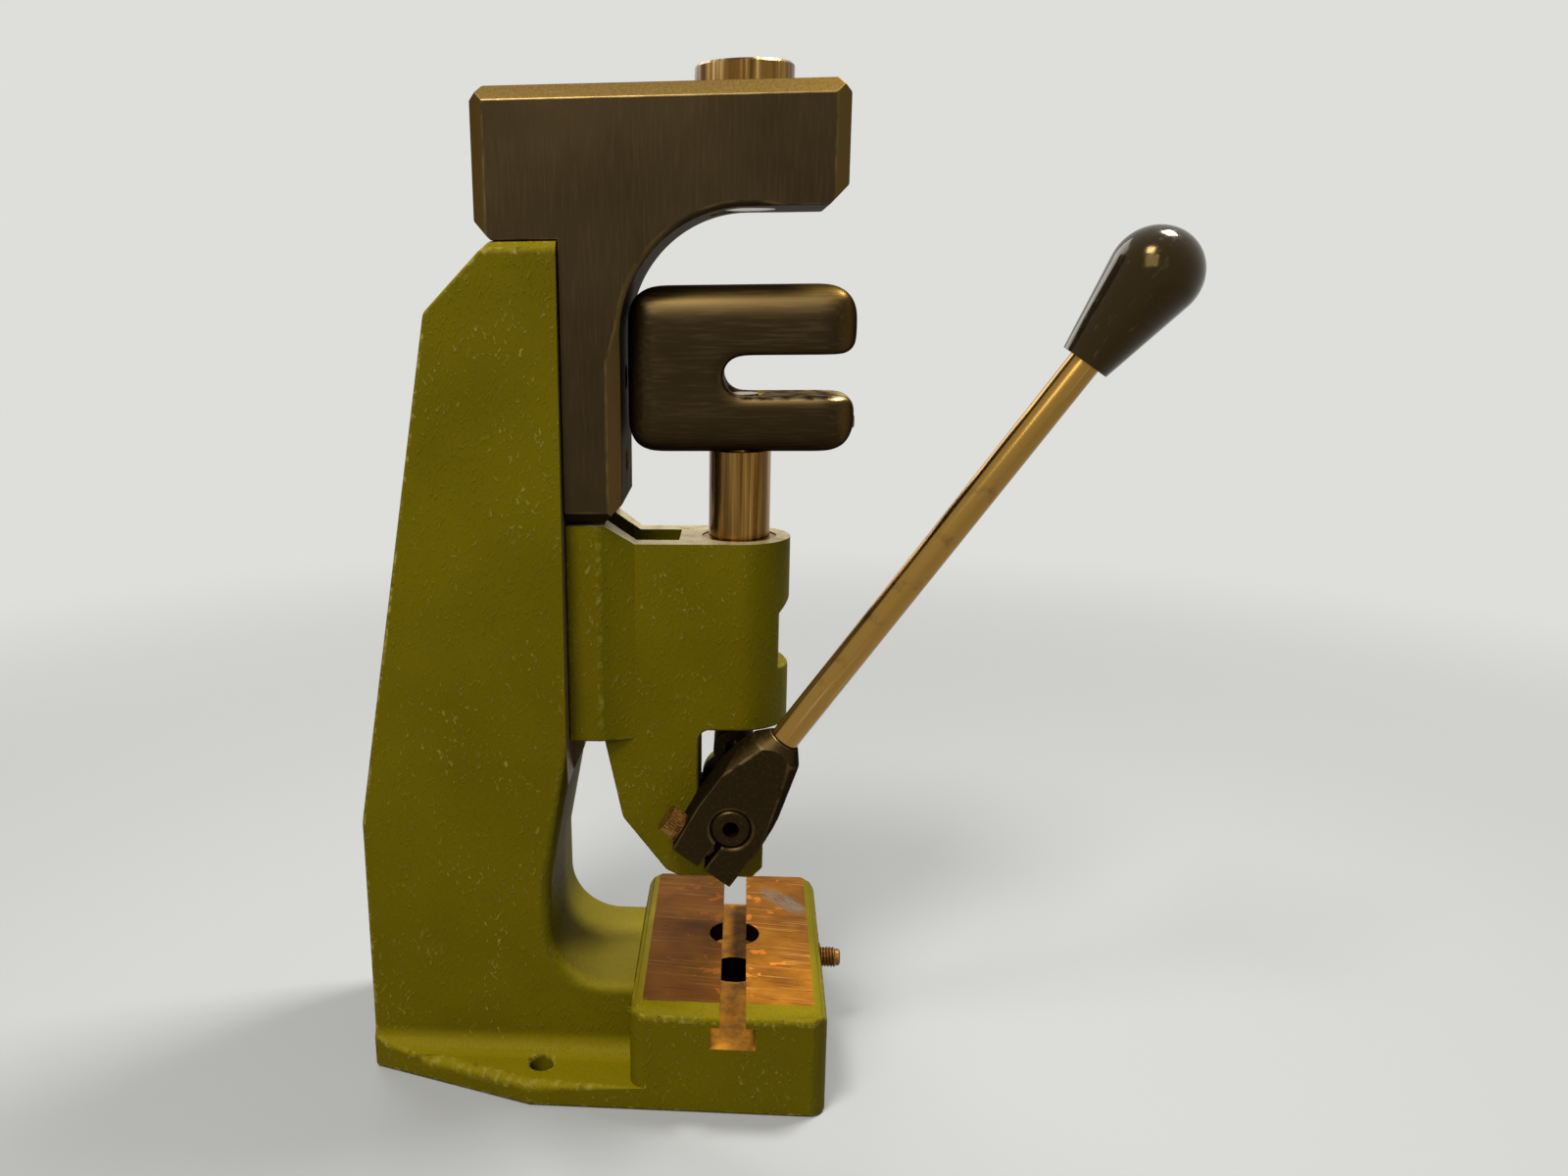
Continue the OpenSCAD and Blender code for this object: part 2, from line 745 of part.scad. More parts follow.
module head() {
    bush_r = ram_d / 2 + ram_bush_wall;
    pocket_top = head_top - pocket_drop;
    pocket_bottom = pocket_top - pocket_height;
    pocket_x = head_half - pocket_depth;
    color("olivedrab")
    difference() {
        union() {
            head_upper();
            side_prism(-head_half, head_half)
                plate_outline();
        }
        side_prism(-cheek_half, cheek_half)
            notch_outline();
        side_prism(-cavity_w / 2, cavity_w / 2)
            cavity_outline();
        translate([0, -chamber_half, notch_top - past]) {
            cube([chamber_front, 2 * chamber_half, chamber_rise + past]);
            cube([eye_room_front, 2 * chamber_half, eye_room_top - notch_top + past]);
        }
        guide_groove();
        translate([0, 0, notch_top - past])
            cylinder(r = ram_d / 2 + bore_room, h = head_height);
        translate([0, 0, head_top - ram_bush_length - bore_room])
            cylinder(r = bush_r + fit, h = head_height);
        translate([-shaft_back, 0, shaft_z])
            round_y(-head_half - past, head_half + past, shaft_d + 2 * shaft_bush_wall + 2 * fit);
        side_prism(-head_half, head_half)
            polygon([[pocket_x, pocket_bottom], [head_half + past, pocket_bottom - past],
                     [head_half + past, pocket_top + pocket_depth + past], [pocket_x, pocket_top]]);
        gib_screw_places()
            round_x(0, cheek_half, gib_screw_d + 2 * fit);
    }
}

module ram_bush() {
    color("darkgoldenrod")
    translate([0, 0, head_top - ram_bush_length - bore_room])
        difference() {
            cylinder(r = ram_d / 2 + ram_bush_wall, h = ram_bush_length);
            translate([0, 0, -past])
                cylinder(r = ram_d / 2 + fit, h = ram_bush_length + 2 * past);
        }
}

module shaft_bushes() {
    color("darkgoldenrod")
    translate([-shaft_back, 0, shaft_z])
        for (side = [-1, 1])
            scale([1, side, 1])
                difference() {
                    round_y(cavity_w / 2, head_half, shaft_d + 2 * shaft_bush_wall);
                    round_y(0, head_half + past, shaft_d + 2 * fit);
                }
}

// Gib strip that takes up the play on the far flank of the rib, with its three set screws
module gib_screw_places() {
    step = (guide_length - 2 * gib_screw_margin) / (gib_screw_count - 1);
    for (i = [0 : gib_screw_count - 1])
        translate([-gib_screw_x, gib_back - fit, cheek_bottom + gib_screw_margin + i * step])
            rotate(90)
                children();
}

module gib() {
    slope = (rib_tip_w - rib_root_w) / 2 / rib_depth;
    front = rib_tip_w / 2 + guide_gap;
    rear = front - slope * (cheek_rear - rib_front);
    color("darkgray")
    translate([0, 0, cheek_bottom])
        linear_extrude(guide_length)
            polygon([[-cheek_rear, rear], [-rib_front, front],
                     [-rib_front, front + gib_t], [-cheek_rear, rear + gib_t]]);
}

module gib_screws() {
    color("dimgray")
    gib_screw_places()
        set_screw(fit, cheek_half - gib_back - gib_screw_sink, gib_screw_d);
}

module thrust_washers() {
    color("darkgray")
    translate([-shaft_back, 0, shaft_z])
        for (side = [-1, 1])
            scale([1, side, 1])
                difference() {
                    round_y(head_half + face_gap, head_half + face_gap + washer_t, washer_d);
                    round_y(0, long, shaft_d + 2 * fit);
                }
}

// Ram with its clevis for the link and its spigot for the fork
module ram() {
    edge = 1;
    color("silver")
    difference() {
        rotate_extrude()
            polygon([[0, ram_bottom], [ram_d / 2 - edge, ram_bottom], [ram_d / 2, ram_bottom + edge],
                     [ram_d / 2, fork_bottom], [ram_spigot_d / 2, fork_bottom],
                     [ram_spigot_d / 2, fork_slot_floor], [0, fork_slot_floor]]);
        translate([-ram_d, -link_w / 2 - side_gap, ram_bottom - past])
            cube([2 * ram_d, link_w + 2 * side_gap, clevis_top - ram_bottom + past]);
        translate([0, 0, wrist_z])
            round_y(-ram_d, ram_d, wrist_pin_d + 2 * fit);
    }
}

module wrist_pin() {
    half = sqrt(pow(ram_d / 2, 2) - pow(wrist_pin_d / 2, 2)) - side_gap;
    color("gray")
    translate([0, 0, wrist_z])
        round_y(-half, half, wrist_pin_d);
}

// Fork block: a thick rounded block with a slot open to the front
module fork() {
    middle = fork_bottom + fork_height / 2;
    slot_r = fork_slot_h / 2;
    color("#24211e")
    difference() {
        intersection() {
            translate([0, 0, fork_bottom])
                linear_extrude(fork_height)
                    rounded_block(-fork_rear, fork_front, fork_w / 2, fork_round);
            side_prism(-fork_w, fork_w)
                translate([0, middle])
                    rounded_block(-fork_rear, fork_front, fork_height / 2, fork_round);
            cross_prism(-fork_length, fork_length)
                translate([0, middle])
                    rounded_block(-fork_w / 2, fork_w / 2, fork_height / 2, fork_round);
        }
        side_prism(-fork_w, fork_w) {
            translate([-fork_slot_back + slot_r, fork_slot_floor]) {
                square([long, fork_slot_h]);
                translate([0, slot_r])
                    circle(r = slot_r);
            }
            translate([fork_front, fork_slot_floor])
                rotate(180)
                    fillet_corner(mouth_round);
            translate([fork_front, fork_slot_floor + fork_slot_h])
                rotate(90)
                    fillet_corner(mouth_round);
        }
        translate([0, 0, fork_bottom - past])
            cylinder(d = ram_spigot_d + 2 * fit, h = lower_prong + 2 * past);
        translate([0, 0, fork_bottom + lower_prong / 2])
            round_x(0, fork_length, fork_screw_d + 2 * fit);
    }
}

module fork_set_screw() {
    color("darkgray")
    translate([0, 0, fork_bottom + lower_prong / 2])
        set_screw(ram_spigot_d / 2 + fork_screw_clear, fork_front + fork_screw_out, fork_screw_d);
}

// Link between the crank pin and the wrist pin; its upper eye is long and wide
module link() {
    slot_half = wrist_pin_d / 2 + slack_across;
    color("#2b2824")
    translate([crank_pin_x, 0, crank_pin_z])
        rotate([0, knee_lean, 0])
            side_prism(-link_w / 2, link_w / 2)
                difference() {
                    union() {
                        circle(r = link_eye_r);
                        translate([-link_bar_w / 2, 0])
                            square([link_bar_w, link_length]);
                        for (z = [link_length - slack_along, link_length])
                            translate([0, z])
                                circle(r = wrist_eye_r);
                        translate([-wrist_eye_r, link_length - slack_along])
                            square([2 * wrist_eye_r, slack_along]);
                    }
                    circle(d = crank_pin_d + 2 * fit);
                    for (z = [link_length - slack_along, link_length])
                        translate([0, z])
                            circle(r = slot_half);
                    translate([-slot_half, link_length - slack_along])
                        square([2 * slot_half, slack_along]);
                }
}

// Lever shaft, with the crank keyed on it between the head's plates
module shaft() {
    color("gray")
    translate([-shaft_back, 0, shaft_z])
        difference() {
            rotate([-90, 0, 0])
                rotate_extrude()
                    polygon([[0, -shaft_near], [shaft_d / 2 - shaft_chamfer, -shaft_near],
                             [shaft_d / 2, -shaft_near + shaft_chamfer], [shaft_d / 2, ring_y - fit],
                             [shaft_d / 2 - ring_groove, ring_y - fit],
                             [shaft_d / 2 - ring_groove, ring_y + ring_t + fit],
                             [shaft_d / 2, ring_y + ring_t + fit], [shaft_d / 2, shaft_far - shaft_chamfer],
                             [shaft_d / 2 - shaft_chamfer, shaft_far], [0, shaft_far]]);
            round_y(-shaft_near - past, -shaft_near + shaft_hole_depth, shaft_hole_d);
            key_room(fit);
        }
}

module key_room(room) {
    translate([-key_w / 2 - room, -key_length / 2 - room, -shaft_d / 2 + key_in_shaft - key_h - room])
        cube([key_w + 2 * room, key_length + 2 * room, key_h + 2 * room]);
}

module crank() {
    slot_half = link_w / 2 + side_gap;
    color("#2b2824")
    translate([-shaft_back, 0, shaft_z])
        rotate([0, knee_lean, 0])
            difference() {
                side_prism(-crank_w / 2, crank_w / 2) {
                    circle(r = eye_r);
                    translate([-crank_arm_w / 2, 0])
                        square([crank_arm_w, crank_r]);
                    translate([0, crank_r])
                        circle(r = link_eye_r);
                }
                translate([-eye_r, -slot_half, crank_r - link_eye_r - swing_gap])
                    cube([2 * eye_r, 2 * slot_half, crank_r]);
                round_y(-crank_w, crank_w, shaft_d + 2 * fit);
                translate([0, 0, crank_r])
                    round_y(-crank_w, crank_w, crank_pin_d + 2 * fit);
                rotate([0, -knee_lean, 0])
                    key_room(fit);
            }
}

module crank_key() {
    color("gray")
    translate([-shaft_back, 0, shaft_z])
        key_room(0);
}

module crank_pin() {
    color("gray")
    translate([crank_pin_x, 0, crank_pin_z])
        round_y(-crank_w / 2, crank_w / 2, crank_pin_d);
}

module retaining_ring() {
    inner_r = shaft_d / 2 - ring_groove + fit;
    color("dimgray")
    translate([-shaft_back, ring_y, shaft_z])
        rotate([-90, 0, 0])
            linear_extrude(ring_t)
                difference() {
                    circle(r = inner_r + ring_width);
                    circle(r = inner_r);
                    polygon([[0, 0], long * [cos(ring_opening / 2), sin(ring_opening / 2)],
                             long * [cos(ring_opening / 2), -sin(ring_opening / 2)]]);
                }
}

// Lever: a clamp hub on the shaft, a bright rod and a tapered grip
module on_lever() {
    translate([-shaft_back, 0, shaft_z])
        rotate([0, -lever_angle, 0])
            children();
}

module on_rod() {
    on_lever()
        translate([0, rod_plane, rod_offset])
            rotate([0, 0, -rod_lean])
                children();
}

module hub_outline() {
    half = hub_w / 2;
    polygon([[-hub_tail, -half], [hub_reach + past, -half], [hub_reach + past, half + hub_swell],
             [0, half + hub_swell], [-hub_tail, half]]);
}

// The turned nose of the hub: a long cone, a steep cone and a narrow lip round the rod
module hub_nose_profile() {
    foot = 2 * hub_tail;
    foot_r = socket_r + nose_w + nose_slope * (hub_reach - nose_drop + foot);
    polygon([[0, -foot], [foot_r, -foot], [socket_r + nose_w, hub_reach - nose_drop],
             [socket_r + lip_w, hub_reach - lip_drop], [socket_r, hub_reach], [0, hub_reach]]);
}

module lever_hub() {
    color("#24211e")
    difference() {
        intersection() {
            on_lever()
                side_prism(-hub_outer, -hub_face)
                    hub_outline();
            on_rod()
                rotate([0, 90, 0])
                    rotate_extrude()
                        hub_nose_profile();
        }
        on_lever() {
            round_y(-hub_outer - past, 0, shaft_d + 2 * fit);
            translate([0, -hub_outer, 0])
                rotate([90, 0, 0])
                    translate([0, 0, -shaft_chamfer])
                        cylinder(d1 = shaft_d, d2 = shaft_d + 4 * shaft_chamfer, h = 2 * shaft_chamfer);
            translate([-hub_tail - past, -hub_outer - past, -slit_w / 2])
                cube([hub_tail + past, hub_t + 2 * past, slit_w]);
            translate([-clamp_screw_u, -hub_face - hub_t / 2, 0])
                round_z(-hub_w, hub_w, clamp_screw_d + 2 * fit);
            translate([-clamp_screw_u, -hub_face - hub_t / 2, 0])
                round_z(hub_w / 2 - past, hub_w, clamp_screw_d * head_ratio + 2 * side_gap);
        }
        on_rod()
            round_x(rod_seat, long, rod_d + 2 * fit);
    }
}

module on_clamp_screw() {
    on_lever()
        translate([-clamp_screw_u, -hub_face - hub_t / 2, hub_w / 2 - past])
            rotate([0, -90, 0])
                children();
}

module lever_clamp_screw() {
    color("sienna")
    on_clamp_screw()
        translate([clamp_washer_t, 0, 0])
            cap_screw(clamp_screw_d, hub_w - past + clamp_washer_t);
}

module lever_clamp_washer() {
    color("sienna")
    on_clamp_screw()
        difference() {
            round_x(0, clamp_washer_t, clamp_screw_d * head_ratio);
            round_x(-past, long, clamp_screw_d + 2 * fit);
        }
}

module lever_rod() {
    color("silver")
    on_rod()
        round_x(rod_seat, grip_start + rod_in_grip, rod_d);
}

module lever_grip() {
    big_r = grip_big_d / 2;
    dome = grip_length - big_r;
    draft = atan2(2 * dome, grip_small_d) - acos(big_r / norm([grip_small_d / 2, dome]));
    color("#141414")
    on_rod()
        difference() {
            translate([grip_start, 0, 0])
                rotate([0, 90, 0])
                    rotate_extrude()
                        intersection() {
                            union() {
                                translate([0, dome])
                                    circle(r = big_r);
                                polygon([[0, 0], [grip_small_d / 2, 0],
                                         [big_r * cos(draft), dome - big_r * sin(draft)], [0, dome]]);
                            }
                            square([grip_big_d, grip_length]);
                        }
            round_x(0, grip_start + rod_in_grip + side_gap, rod_d + 2 * fit);
        }
}

frame();
die_clamp_screw();
top_bracket();
bracket_screws();
upper_anvil();
head();
ram_bush();
shaft_bushes();
gib();
gib_screws();
thrust_washers();
ram();
wrist_pin();
fork();
fork_set_screw();
link();
shaft();
crank();
crank_key();
crank_pin();
retaining_ring();
lever_hub();
lever_clamp_screw();
lever_clamp_washer();
lever_rod();
lever_grip();
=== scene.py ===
"""Looks of the bench toggle press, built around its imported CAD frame."""

import json
import math

import bmesh
import bpy
from mathutils import Matrix, Vector


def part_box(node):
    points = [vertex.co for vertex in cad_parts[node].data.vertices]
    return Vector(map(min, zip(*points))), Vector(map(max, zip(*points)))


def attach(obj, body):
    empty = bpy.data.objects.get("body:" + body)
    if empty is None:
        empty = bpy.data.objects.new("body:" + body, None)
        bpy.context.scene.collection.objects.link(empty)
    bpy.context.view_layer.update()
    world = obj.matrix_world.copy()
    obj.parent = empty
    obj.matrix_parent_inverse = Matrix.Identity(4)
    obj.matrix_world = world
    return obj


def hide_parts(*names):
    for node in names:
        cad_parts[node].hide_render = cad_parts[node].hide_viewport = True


bl_info = {
    "name": "Bench toggle press",
    "version": (1, 0, 0),
    "blender": (4, 5, 0),
    "location": "View3D > Sidebar > Press",
    "description": "Castings, black steel, bright steel and lever of a bench toggle press",
    "category": "Object",
}

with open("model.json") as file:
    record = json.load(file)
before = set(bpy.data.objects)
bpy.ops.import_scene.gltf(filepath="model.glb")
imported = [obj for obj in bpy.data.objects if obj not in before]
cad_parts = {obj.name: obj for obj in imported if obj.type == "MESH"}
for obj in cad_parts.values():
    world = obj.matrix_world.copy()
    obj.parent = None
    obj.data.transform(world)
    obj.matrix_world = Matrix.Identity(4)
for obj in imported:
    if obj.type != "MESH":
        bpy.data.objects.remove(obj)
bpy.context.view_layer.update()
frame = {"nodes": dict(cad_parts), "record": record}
MM = 0.001

# Places that the press's mounts and nodes give: heights of the bed, the head's top and the floor of the
# fork's slot, the bore's radius, the face that the head slides on, and the die clamp screw's box
MOUNTS = {mount["name"]: mount for mount in frame["record"]["mounts"]}
BED_Z = MOUNTS["bed_face"]["pos_m"][2]
BORE_R = MOUNTS["die_bore"]["dims"]["r_mm"] * MM
HEAD_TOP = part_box("ram_bush")[1].z
SLOT_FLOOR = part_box("ram")[1].z
GUIDE_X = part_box("head")[0].x
DIE_SCREW_LOW, DIE_SCREW_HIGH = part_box("die_clamp_screw")

# The lever's rod rises 55.4 degrees above level and leans 4 degrees away from the head
ROD_TILT = math.radians(90 - 55.4)
ROD_LEAN = math.radians(4)

# Regions of the frame casting: where the bed block starts, depth of the T-slot, lower end and reach of the
# guide, half the width of its rib, and where the edges round the throat and along the foot lie
BLOCK_START = -0.043
SLOT_DEPTH = 21 * MM
GUIDE_LOW = 0.147
GUIDE_REACH = 8 * MM
RIB_HALF = 0.02
THROAT_X = (-0.0905, -0.048)
THROAT_Z = (0.0435, 0.15)
FOOT_Z = (0.0115, 0.0165)
FOOT_Y = 0.045
FOOT_RUN = 4 * MM

# Copies of CAD nodes: distance at which points merge, and turns at which faces are one flat and corners are
# rounded
MERGED = 0.05 * MM
FLAT = math.radians(0.6)
CORNER = math.radians(12)
# Room that a rounded edge needs beside a short one, in radii, and the turn in degrees at which it stays sharp
ROOM = 1.1
ROUNDED_CREASE = 60
# Parts of a face's normal: straight along an axis, almost along it, mostly up, and half turned to it
STRAIGHT = 0.99
ALMOST = 0.95
MOSTLY = 0.7
HALF = 0.5
# Distances within which a point counts as on a plane, on a round wall of flat facets, and beside a face
NEAR = 0.1 * MM
FACETED = 0.3 * MM
BESIDE = 1 * MM

# The stage's lamps by name, place, width and power, and the point that they face
LAMPS = (
    ("key", (-0.4, -0.7, 1.6), 0.4, 22),
    ("side", (0.56, 0.35, 1.5), 0.35, 26),
    ("fill", (-0.5, -1.25, 1.15), 0.8, 11),
    ("back", (-0.7, 0.9, 1.0), 0.8, 6),
)
LAMP_AIM = Vector((-0.03, 0, 0.22))
# The camera, fitted to the press's straight edges in the photograph: place, yaw, pitch and roll in degrees,
# and focal length and middle of the lens in pixels of the whole picture
CAMERA_PLACE = (0.002303, -0.598037, 0.373782)
CAMERA_TURN = (-5.25, 16.02, -0.70)
CAMERA_FOCUS = 1334.933
CAMERA_MIDDLE = (639.84, 665.65)
PICTURE = (1600, 1200)
SENSOR = 36

# Inputs of a Mix node for colours, and what makes it one
SHARE, FROM, TO = 0, 6, 7
MIXED = {"out": 2, "data_type": "RGBA"}


def linear(code):
    """A hex colour as linear red, green and blue."""
    parts = [int(code[i : i + 2], 16) / 255 for i in (1, 3, 5)]
    return tuple(p / 12.92 if p <= 0.04045 else ((p + 0.055) / 1.055) ** 2.4 for p in parts)


class PressColours(bpy.types.PropertyGroup):
    """Colours of the press's finishes"""

    enamel: bpy.props.FloatVectorProperty(
        name="Enamel", description="Olive machine enamel on the castings",
        subtype="COLOR", min=0, max=1, default=linear("#5b5002"))
    enamel_dirty: bpy.props.FloatVectorProperty(
        name="Dirty enamel", description="Enamel where grease has settled",
        subtype="COLOR", min=0, max=1, default=linear("#4e4401"))
    # Also the painted highlight on the tops of the enamel's strokes, besides the rubbed paint
    enamel_rub_and_highlight: bpy.props.FloatVectorProperty(
        name="Rubbed enamel", description="Pale flecks and lines where the enamel is rubbed",
        subtype="COLOR", min=0, max=1, default=linear("#a1934a"))
    bed_rust: bpy.props.FloatVectorProperty(
        name="Bed rust", description="Brown film of rust on the milled bed",
        subtype="COLOR", min=0, max=1, default=linear("#8a5417"))
    bare_iron: bpy.props.FloatVectorProperty(
        name="Bare iron", description="Milled iron in slots, guides and on the head's top",
        subtype="COLOR", min=0, max=1, default=linear("#b7aa82"))
    black_oxide: bpy.props.FloatVectorProperty(
        name="Black oxide", description="Black-oxidised steel of the bracket, fork and hub",
        subtype="COLOR", min=0, max=1, default=linear("#382d1c"))
    oxide_worn: bpy.props.FloatVectorProperty(
        name="Worn oxide", description="Rubbed edges of the black-oxidised steel",
        subtype="COLOR", min=0, max=1, default=linear("#9a8054"))
    bright_steel: bpy.props.FloatVectorProperty(
        name="Bright steel", description="Ground steel of the ram, rod and anvil",
        subtype="COLOR", min=0, max=1, default=linear("#96733a"))
    grip_black: bpy.props.FloatVectorProperty(
        name="Grip", description="Moulded phenolic of the grip",
        subtype="COLOR", min=0, max=1, default=linear("#1a140b"))
    backdrop: bpy.props.FloatVectorProperty(
        name="Backdrop", description="Pale studio floor and backdrop",
        subtype="COLOR", min=0, max=1, default=linear("#dededb"))


class PressSizes(bpy.types.PropertyGroup):
    """Edge radii and details of the press"""

    cast_edge: bpy.props.FloatProperty(
        name="Cast edge", description="Radius of the painted edges of the castings",
        subtype="DISTANCE", unit="LENGTH", min=0.0005, max=0.003, default=0.0018)
    throat_edge: bpy.props.FloatProperty(
        name="Throat edge", description="Radius of the edges round the throat",
        subtype="DISTANCE", unit="LENGTH", min=0.001, max=0.008, default=0.006)
    foot_edge: bpy.props.FloatProperty(
        name="Foot edge", description="Radius along the upper edge of the foot flange",
        subtype="DISTANCE", unit="LENGTH", min=0.001, max=0.008, default=0.005)
    milled_edge: bpy.props.FloatProperty(
        name="Milled edge", description="Broken edge of the milled black blocks",
        subtype="DISTANCE", unit="LENGTH", min=0.0002, max=0.0015, default=0.0006)
    fork_grid: bpy.props.FloatProperty(
        name="Fork grid", description="Grid of the fork's ground surface",
        subtype="DISTANCE", unit="LENGTH", min=0.0008, max=0.003, default=0.0013)
    thread_pitch: bpy.props.FloatProperty(
        name="Thread pitch", description="Pitch of the die clamp screw's thread",
        subtype="DISTANCE", unit="LENGTH", min=0.0008, max=0.002, default=0.0015)
    thread_depth: bpy.props.FloatProperty(
        name="Thread depth", description="Depth of the die clamp screw's thread",
        subtype="DISTANCE", unit="LENGTH", min=0.0004, max=0.001, default=0.0008)
    knurl_depth: bpy.props.FloatProperty(
        name="Knurl depth", description="Depth of the teeth round the lever clamp screw's head",
        subtype="DISTANCE", unit="LENGTH", min=0.0002, max=0.0008, default=0.0006)
    knurl_count: bpy.props.IntProperty(
        name="Knurl teeth", description="Teeth round the lever clamp screw's head",
        min=20, max=60, default=28)


def sizes():
    """The press's sizes, as the panel shows them."""
    return bpy.context.scene.press_sizes


def colours():
    """The press's colours, as the panel shows them."""
    return bpy.context.scene.press_colours


# Finishes


def add(tree, kind, inputs=None, out=0, **settings):
    """One shader node with its settings, constants and links; gives the output that is asked for."""
    made = tree.nodes.new("ShaderNode" + kind)
    for name, value in settings.items():
        setattr(made, name, value)
    for name, value in (inputs or {}).items():
        socket = made.inputs[name]
        if isinstance(value, bpy.types.NodeSocket):
            tree.links.new(value, socket)
        elif socket.type == "RGBA":
            socket.default_value = (*value, 1.0)
        else:
            socket.default_value = value
    return made.outputs[out] if made.outputs else None


def new_finish(name):
    """An empty material: its tree and its object coordinates."""
    made = bpy.data.materials.new(name)
    made.use_nodes = True
    made.node_tree.nodes.clear()
    return made.node_tree, add(made.node_tree, "TexCoord", out="Object")


def enamel_finish():
    """Machine enamel brushed on rough cast iron: satin olive with short raised strokes whose tops are painted
    pale, partly as rubbed paint and partly as a painted highlight, brown chips and pale lines along the
    edges, grey dust where it lies flat, painted top light where it faces up, and painted shade where it faces
    the front."""
    tree, place = new_finish("olive_machine_enamel")
    c = colours()
    # Grease clouds of 60 mm
    clouds = add(tree, "TexNoise", {"Vector": place, "Scale": 1 / (60 * MM), "Detail": 4.0})
    share = add(tree, "MapRange", {"Value": clouds, "From Min": 0.4, "From Max": 0.7, "To Max": 0.6})
    base = add(tree, "Mix", {SHARE: share, FROM: c.enamel, TO: c.enamel_dirty}, **MIXED)
    # Raised strokes 1.2 mm wide and 4 mm long, leaning both ways, thick in some areas and few in others
    lean = add(tree, "Mapping", {"Vector": place, "Rotation": (0, 0.5, 0.4), "Scale": (1, 1, 3.2)},
               vector_type="TEXTURE")
    strokes = add(tree, "TexNoise", {"Vector": lean, "Scale": 1 / (1.25 * MM), "Detail": 1.0,
                                     "Distortion": 0.7})
    lean = add(tree, "Mapping", {"Vector": place, "Rotation": (0, -0.4, -0.3), "Scale": (1, 1, 2.8)},
               vector_type="TEXTURE")
    crossed = add(tree, "TexNoise", {"Vector": lean, "Scale": 1 / (1.4 * MM), "Detail": 1.0,
                                     "Distortion": 0.7})
    ridges = add(tree, "Math", {0: strokes, 1: crossed}, operation="MAXIMUM")
    areas = add(tree, "TexNoise", {"Vector": place, "Scale": 1 / (25 * MM), "Detail": 3.0})
    areas = add(tree, "MapRange", {"Value": areas, "From Min": 0.4, "From Max": 0.65, "To Min": 0.1})
    # Painted highlight: the tops of the strokes are painted pale, partly as rubbed paint and partly as the
    # light that catches them
    flecks = add(tree, "MapRange", {"Value": ridges, "From Min": 0.66, "From Max": 0.75, "To Max": 0.36})
    flecks = add(tree, "Math", {0: flecks, 1: areas}, operation="MULTIPLY")
    base = add(tree, "Mix", {SHARE: flecks, FROM: base, TO: c.enamel_rub_and_highlight}, **MIXED)
    # Painted shade: what faces the front is darkened, as less light falls on it there
    normal = add(tree, "NewGeometry", out="Normal")
    front = add(tree, "SeparateXYZ", {0: normal}, out="X")
    front = add(tree, "MapRange", {"Value": front, "From Min": 0.1, "From Max": 0.35, "To Max": 0.45})
    base = add(tree, "Mix", {SHARE: front, FROM: base, TO: linear("#484402")}, **MIXED)
    # Painted light: the enamel is made a paler yellow where it faces up, as light from above falls on it;
    # dust lies there in the throat
    upward = add(tree, "SeparateXYZ", {0: normal}, out="Z")
    lit = add(tree, "MapRange", {"Value": upward, "From Min": 0.2, "From Max": 0.7, "To Max": 0.5})
    base = add(tree, "Mix", {SHARE: lit, FROM: base, TO: linear("#86760a")}, **MIXED)
    dust = add(tree, "MapRange", {"Value": upward, "From Min": 0.4, "From Max": 0.95, "To Max": 0.3})
    where = add(tree, "Mapping", {"Vector": place, "Location": (-0.07, 0, 0.07), "Scale": (0.04, 0.12, 0.06)},
                vector_type="TEXTURE")
    where = add(tree, "TexGradient", {"Vector": where}, out="Fac", gradient_type="SPHERICAL")
    where = add(tree, "MapRange", {"Value": where, "From Min": 0.05, "From Max": 0.4})
    specks = add(tree, "TexNoise", {"Vector": place, "Scale": 1 / (2.5 * MM), "Detail": 5.0,
                                    "Roughness": 0.7})
    dust = add(tree, "Math", {0: dust, 1: where}, operation="MULTIPLY")
    base = add(tree, "Mix", {SHARE: dust, FROM: base, TO: linear("#807232")}, **MIXED)
    # The rounded edges: pale rubs of 4 mm, and chips of 6 mm down to the brown iron
    edges = add(tree, "Attribute", out="Fac", attribute_name="rounded")
    worn = add(tree, "TexNoise", {"Vector": place, "Scale": 1 / (4 * MM), "Detail": 5.0, "Roughness": 0.6})
    worn = add(tree, "MapRange", {"Value": worn, "From Min": 0.5, "From Max": 0.66, "To Max": 0.6})
    rubbed = add(tree, "Math", {0: edges, 1: worn}, operation="MULTIPLY")
    base = add(tree, "Mix", {SHARE: rubbed, FROM: base, TO: c.enamel_rub_and_highlight}, **MIXED)
    spots = add(tree, "TexNoise", {"Vector": place, "Scale": 1 / (6 * MM), "Detail": 5.0, "Roughness": 0.65})
    spots = add(tree, "MapRange", {"Value": spots, "From Min": 0.6, "From Max": 0.63})
    chips = add(tree, "Math", {0: edges, 1: spots}, operation="MULTIPLY")
    base = add(tree, "Mix", {SHARE: chips, FROM: base, TO: linear("#573c1a")}, **MIXED)
    rough = add(tree, "MapRange", {"Value": specks, "From Min": 0.3, "From Max": 0.7, "To Min": 0.42,
                                   "To Max": 0.58})
    height = add(tree, "MapRange", {"Value": ridges, "From Min": 0.6, "From Max": 0.78})
    height = add(tree, "Math", {0: height, 1: chips}, operation="SUBTRACT")
    raised = add(tree, "Bump", {"Height": height, "Strength": 0.55, "Distance": 0.6 * MM})
    shader = add(tree, "BsdfPrincipled", {"Base Color": base, "Roughness": rough, "Normal": raised,
                                          "IOR": 1.5, "Specular IOR Level": 0.03})
    add(tree, "OutputMaterial", {"Surface": shader})


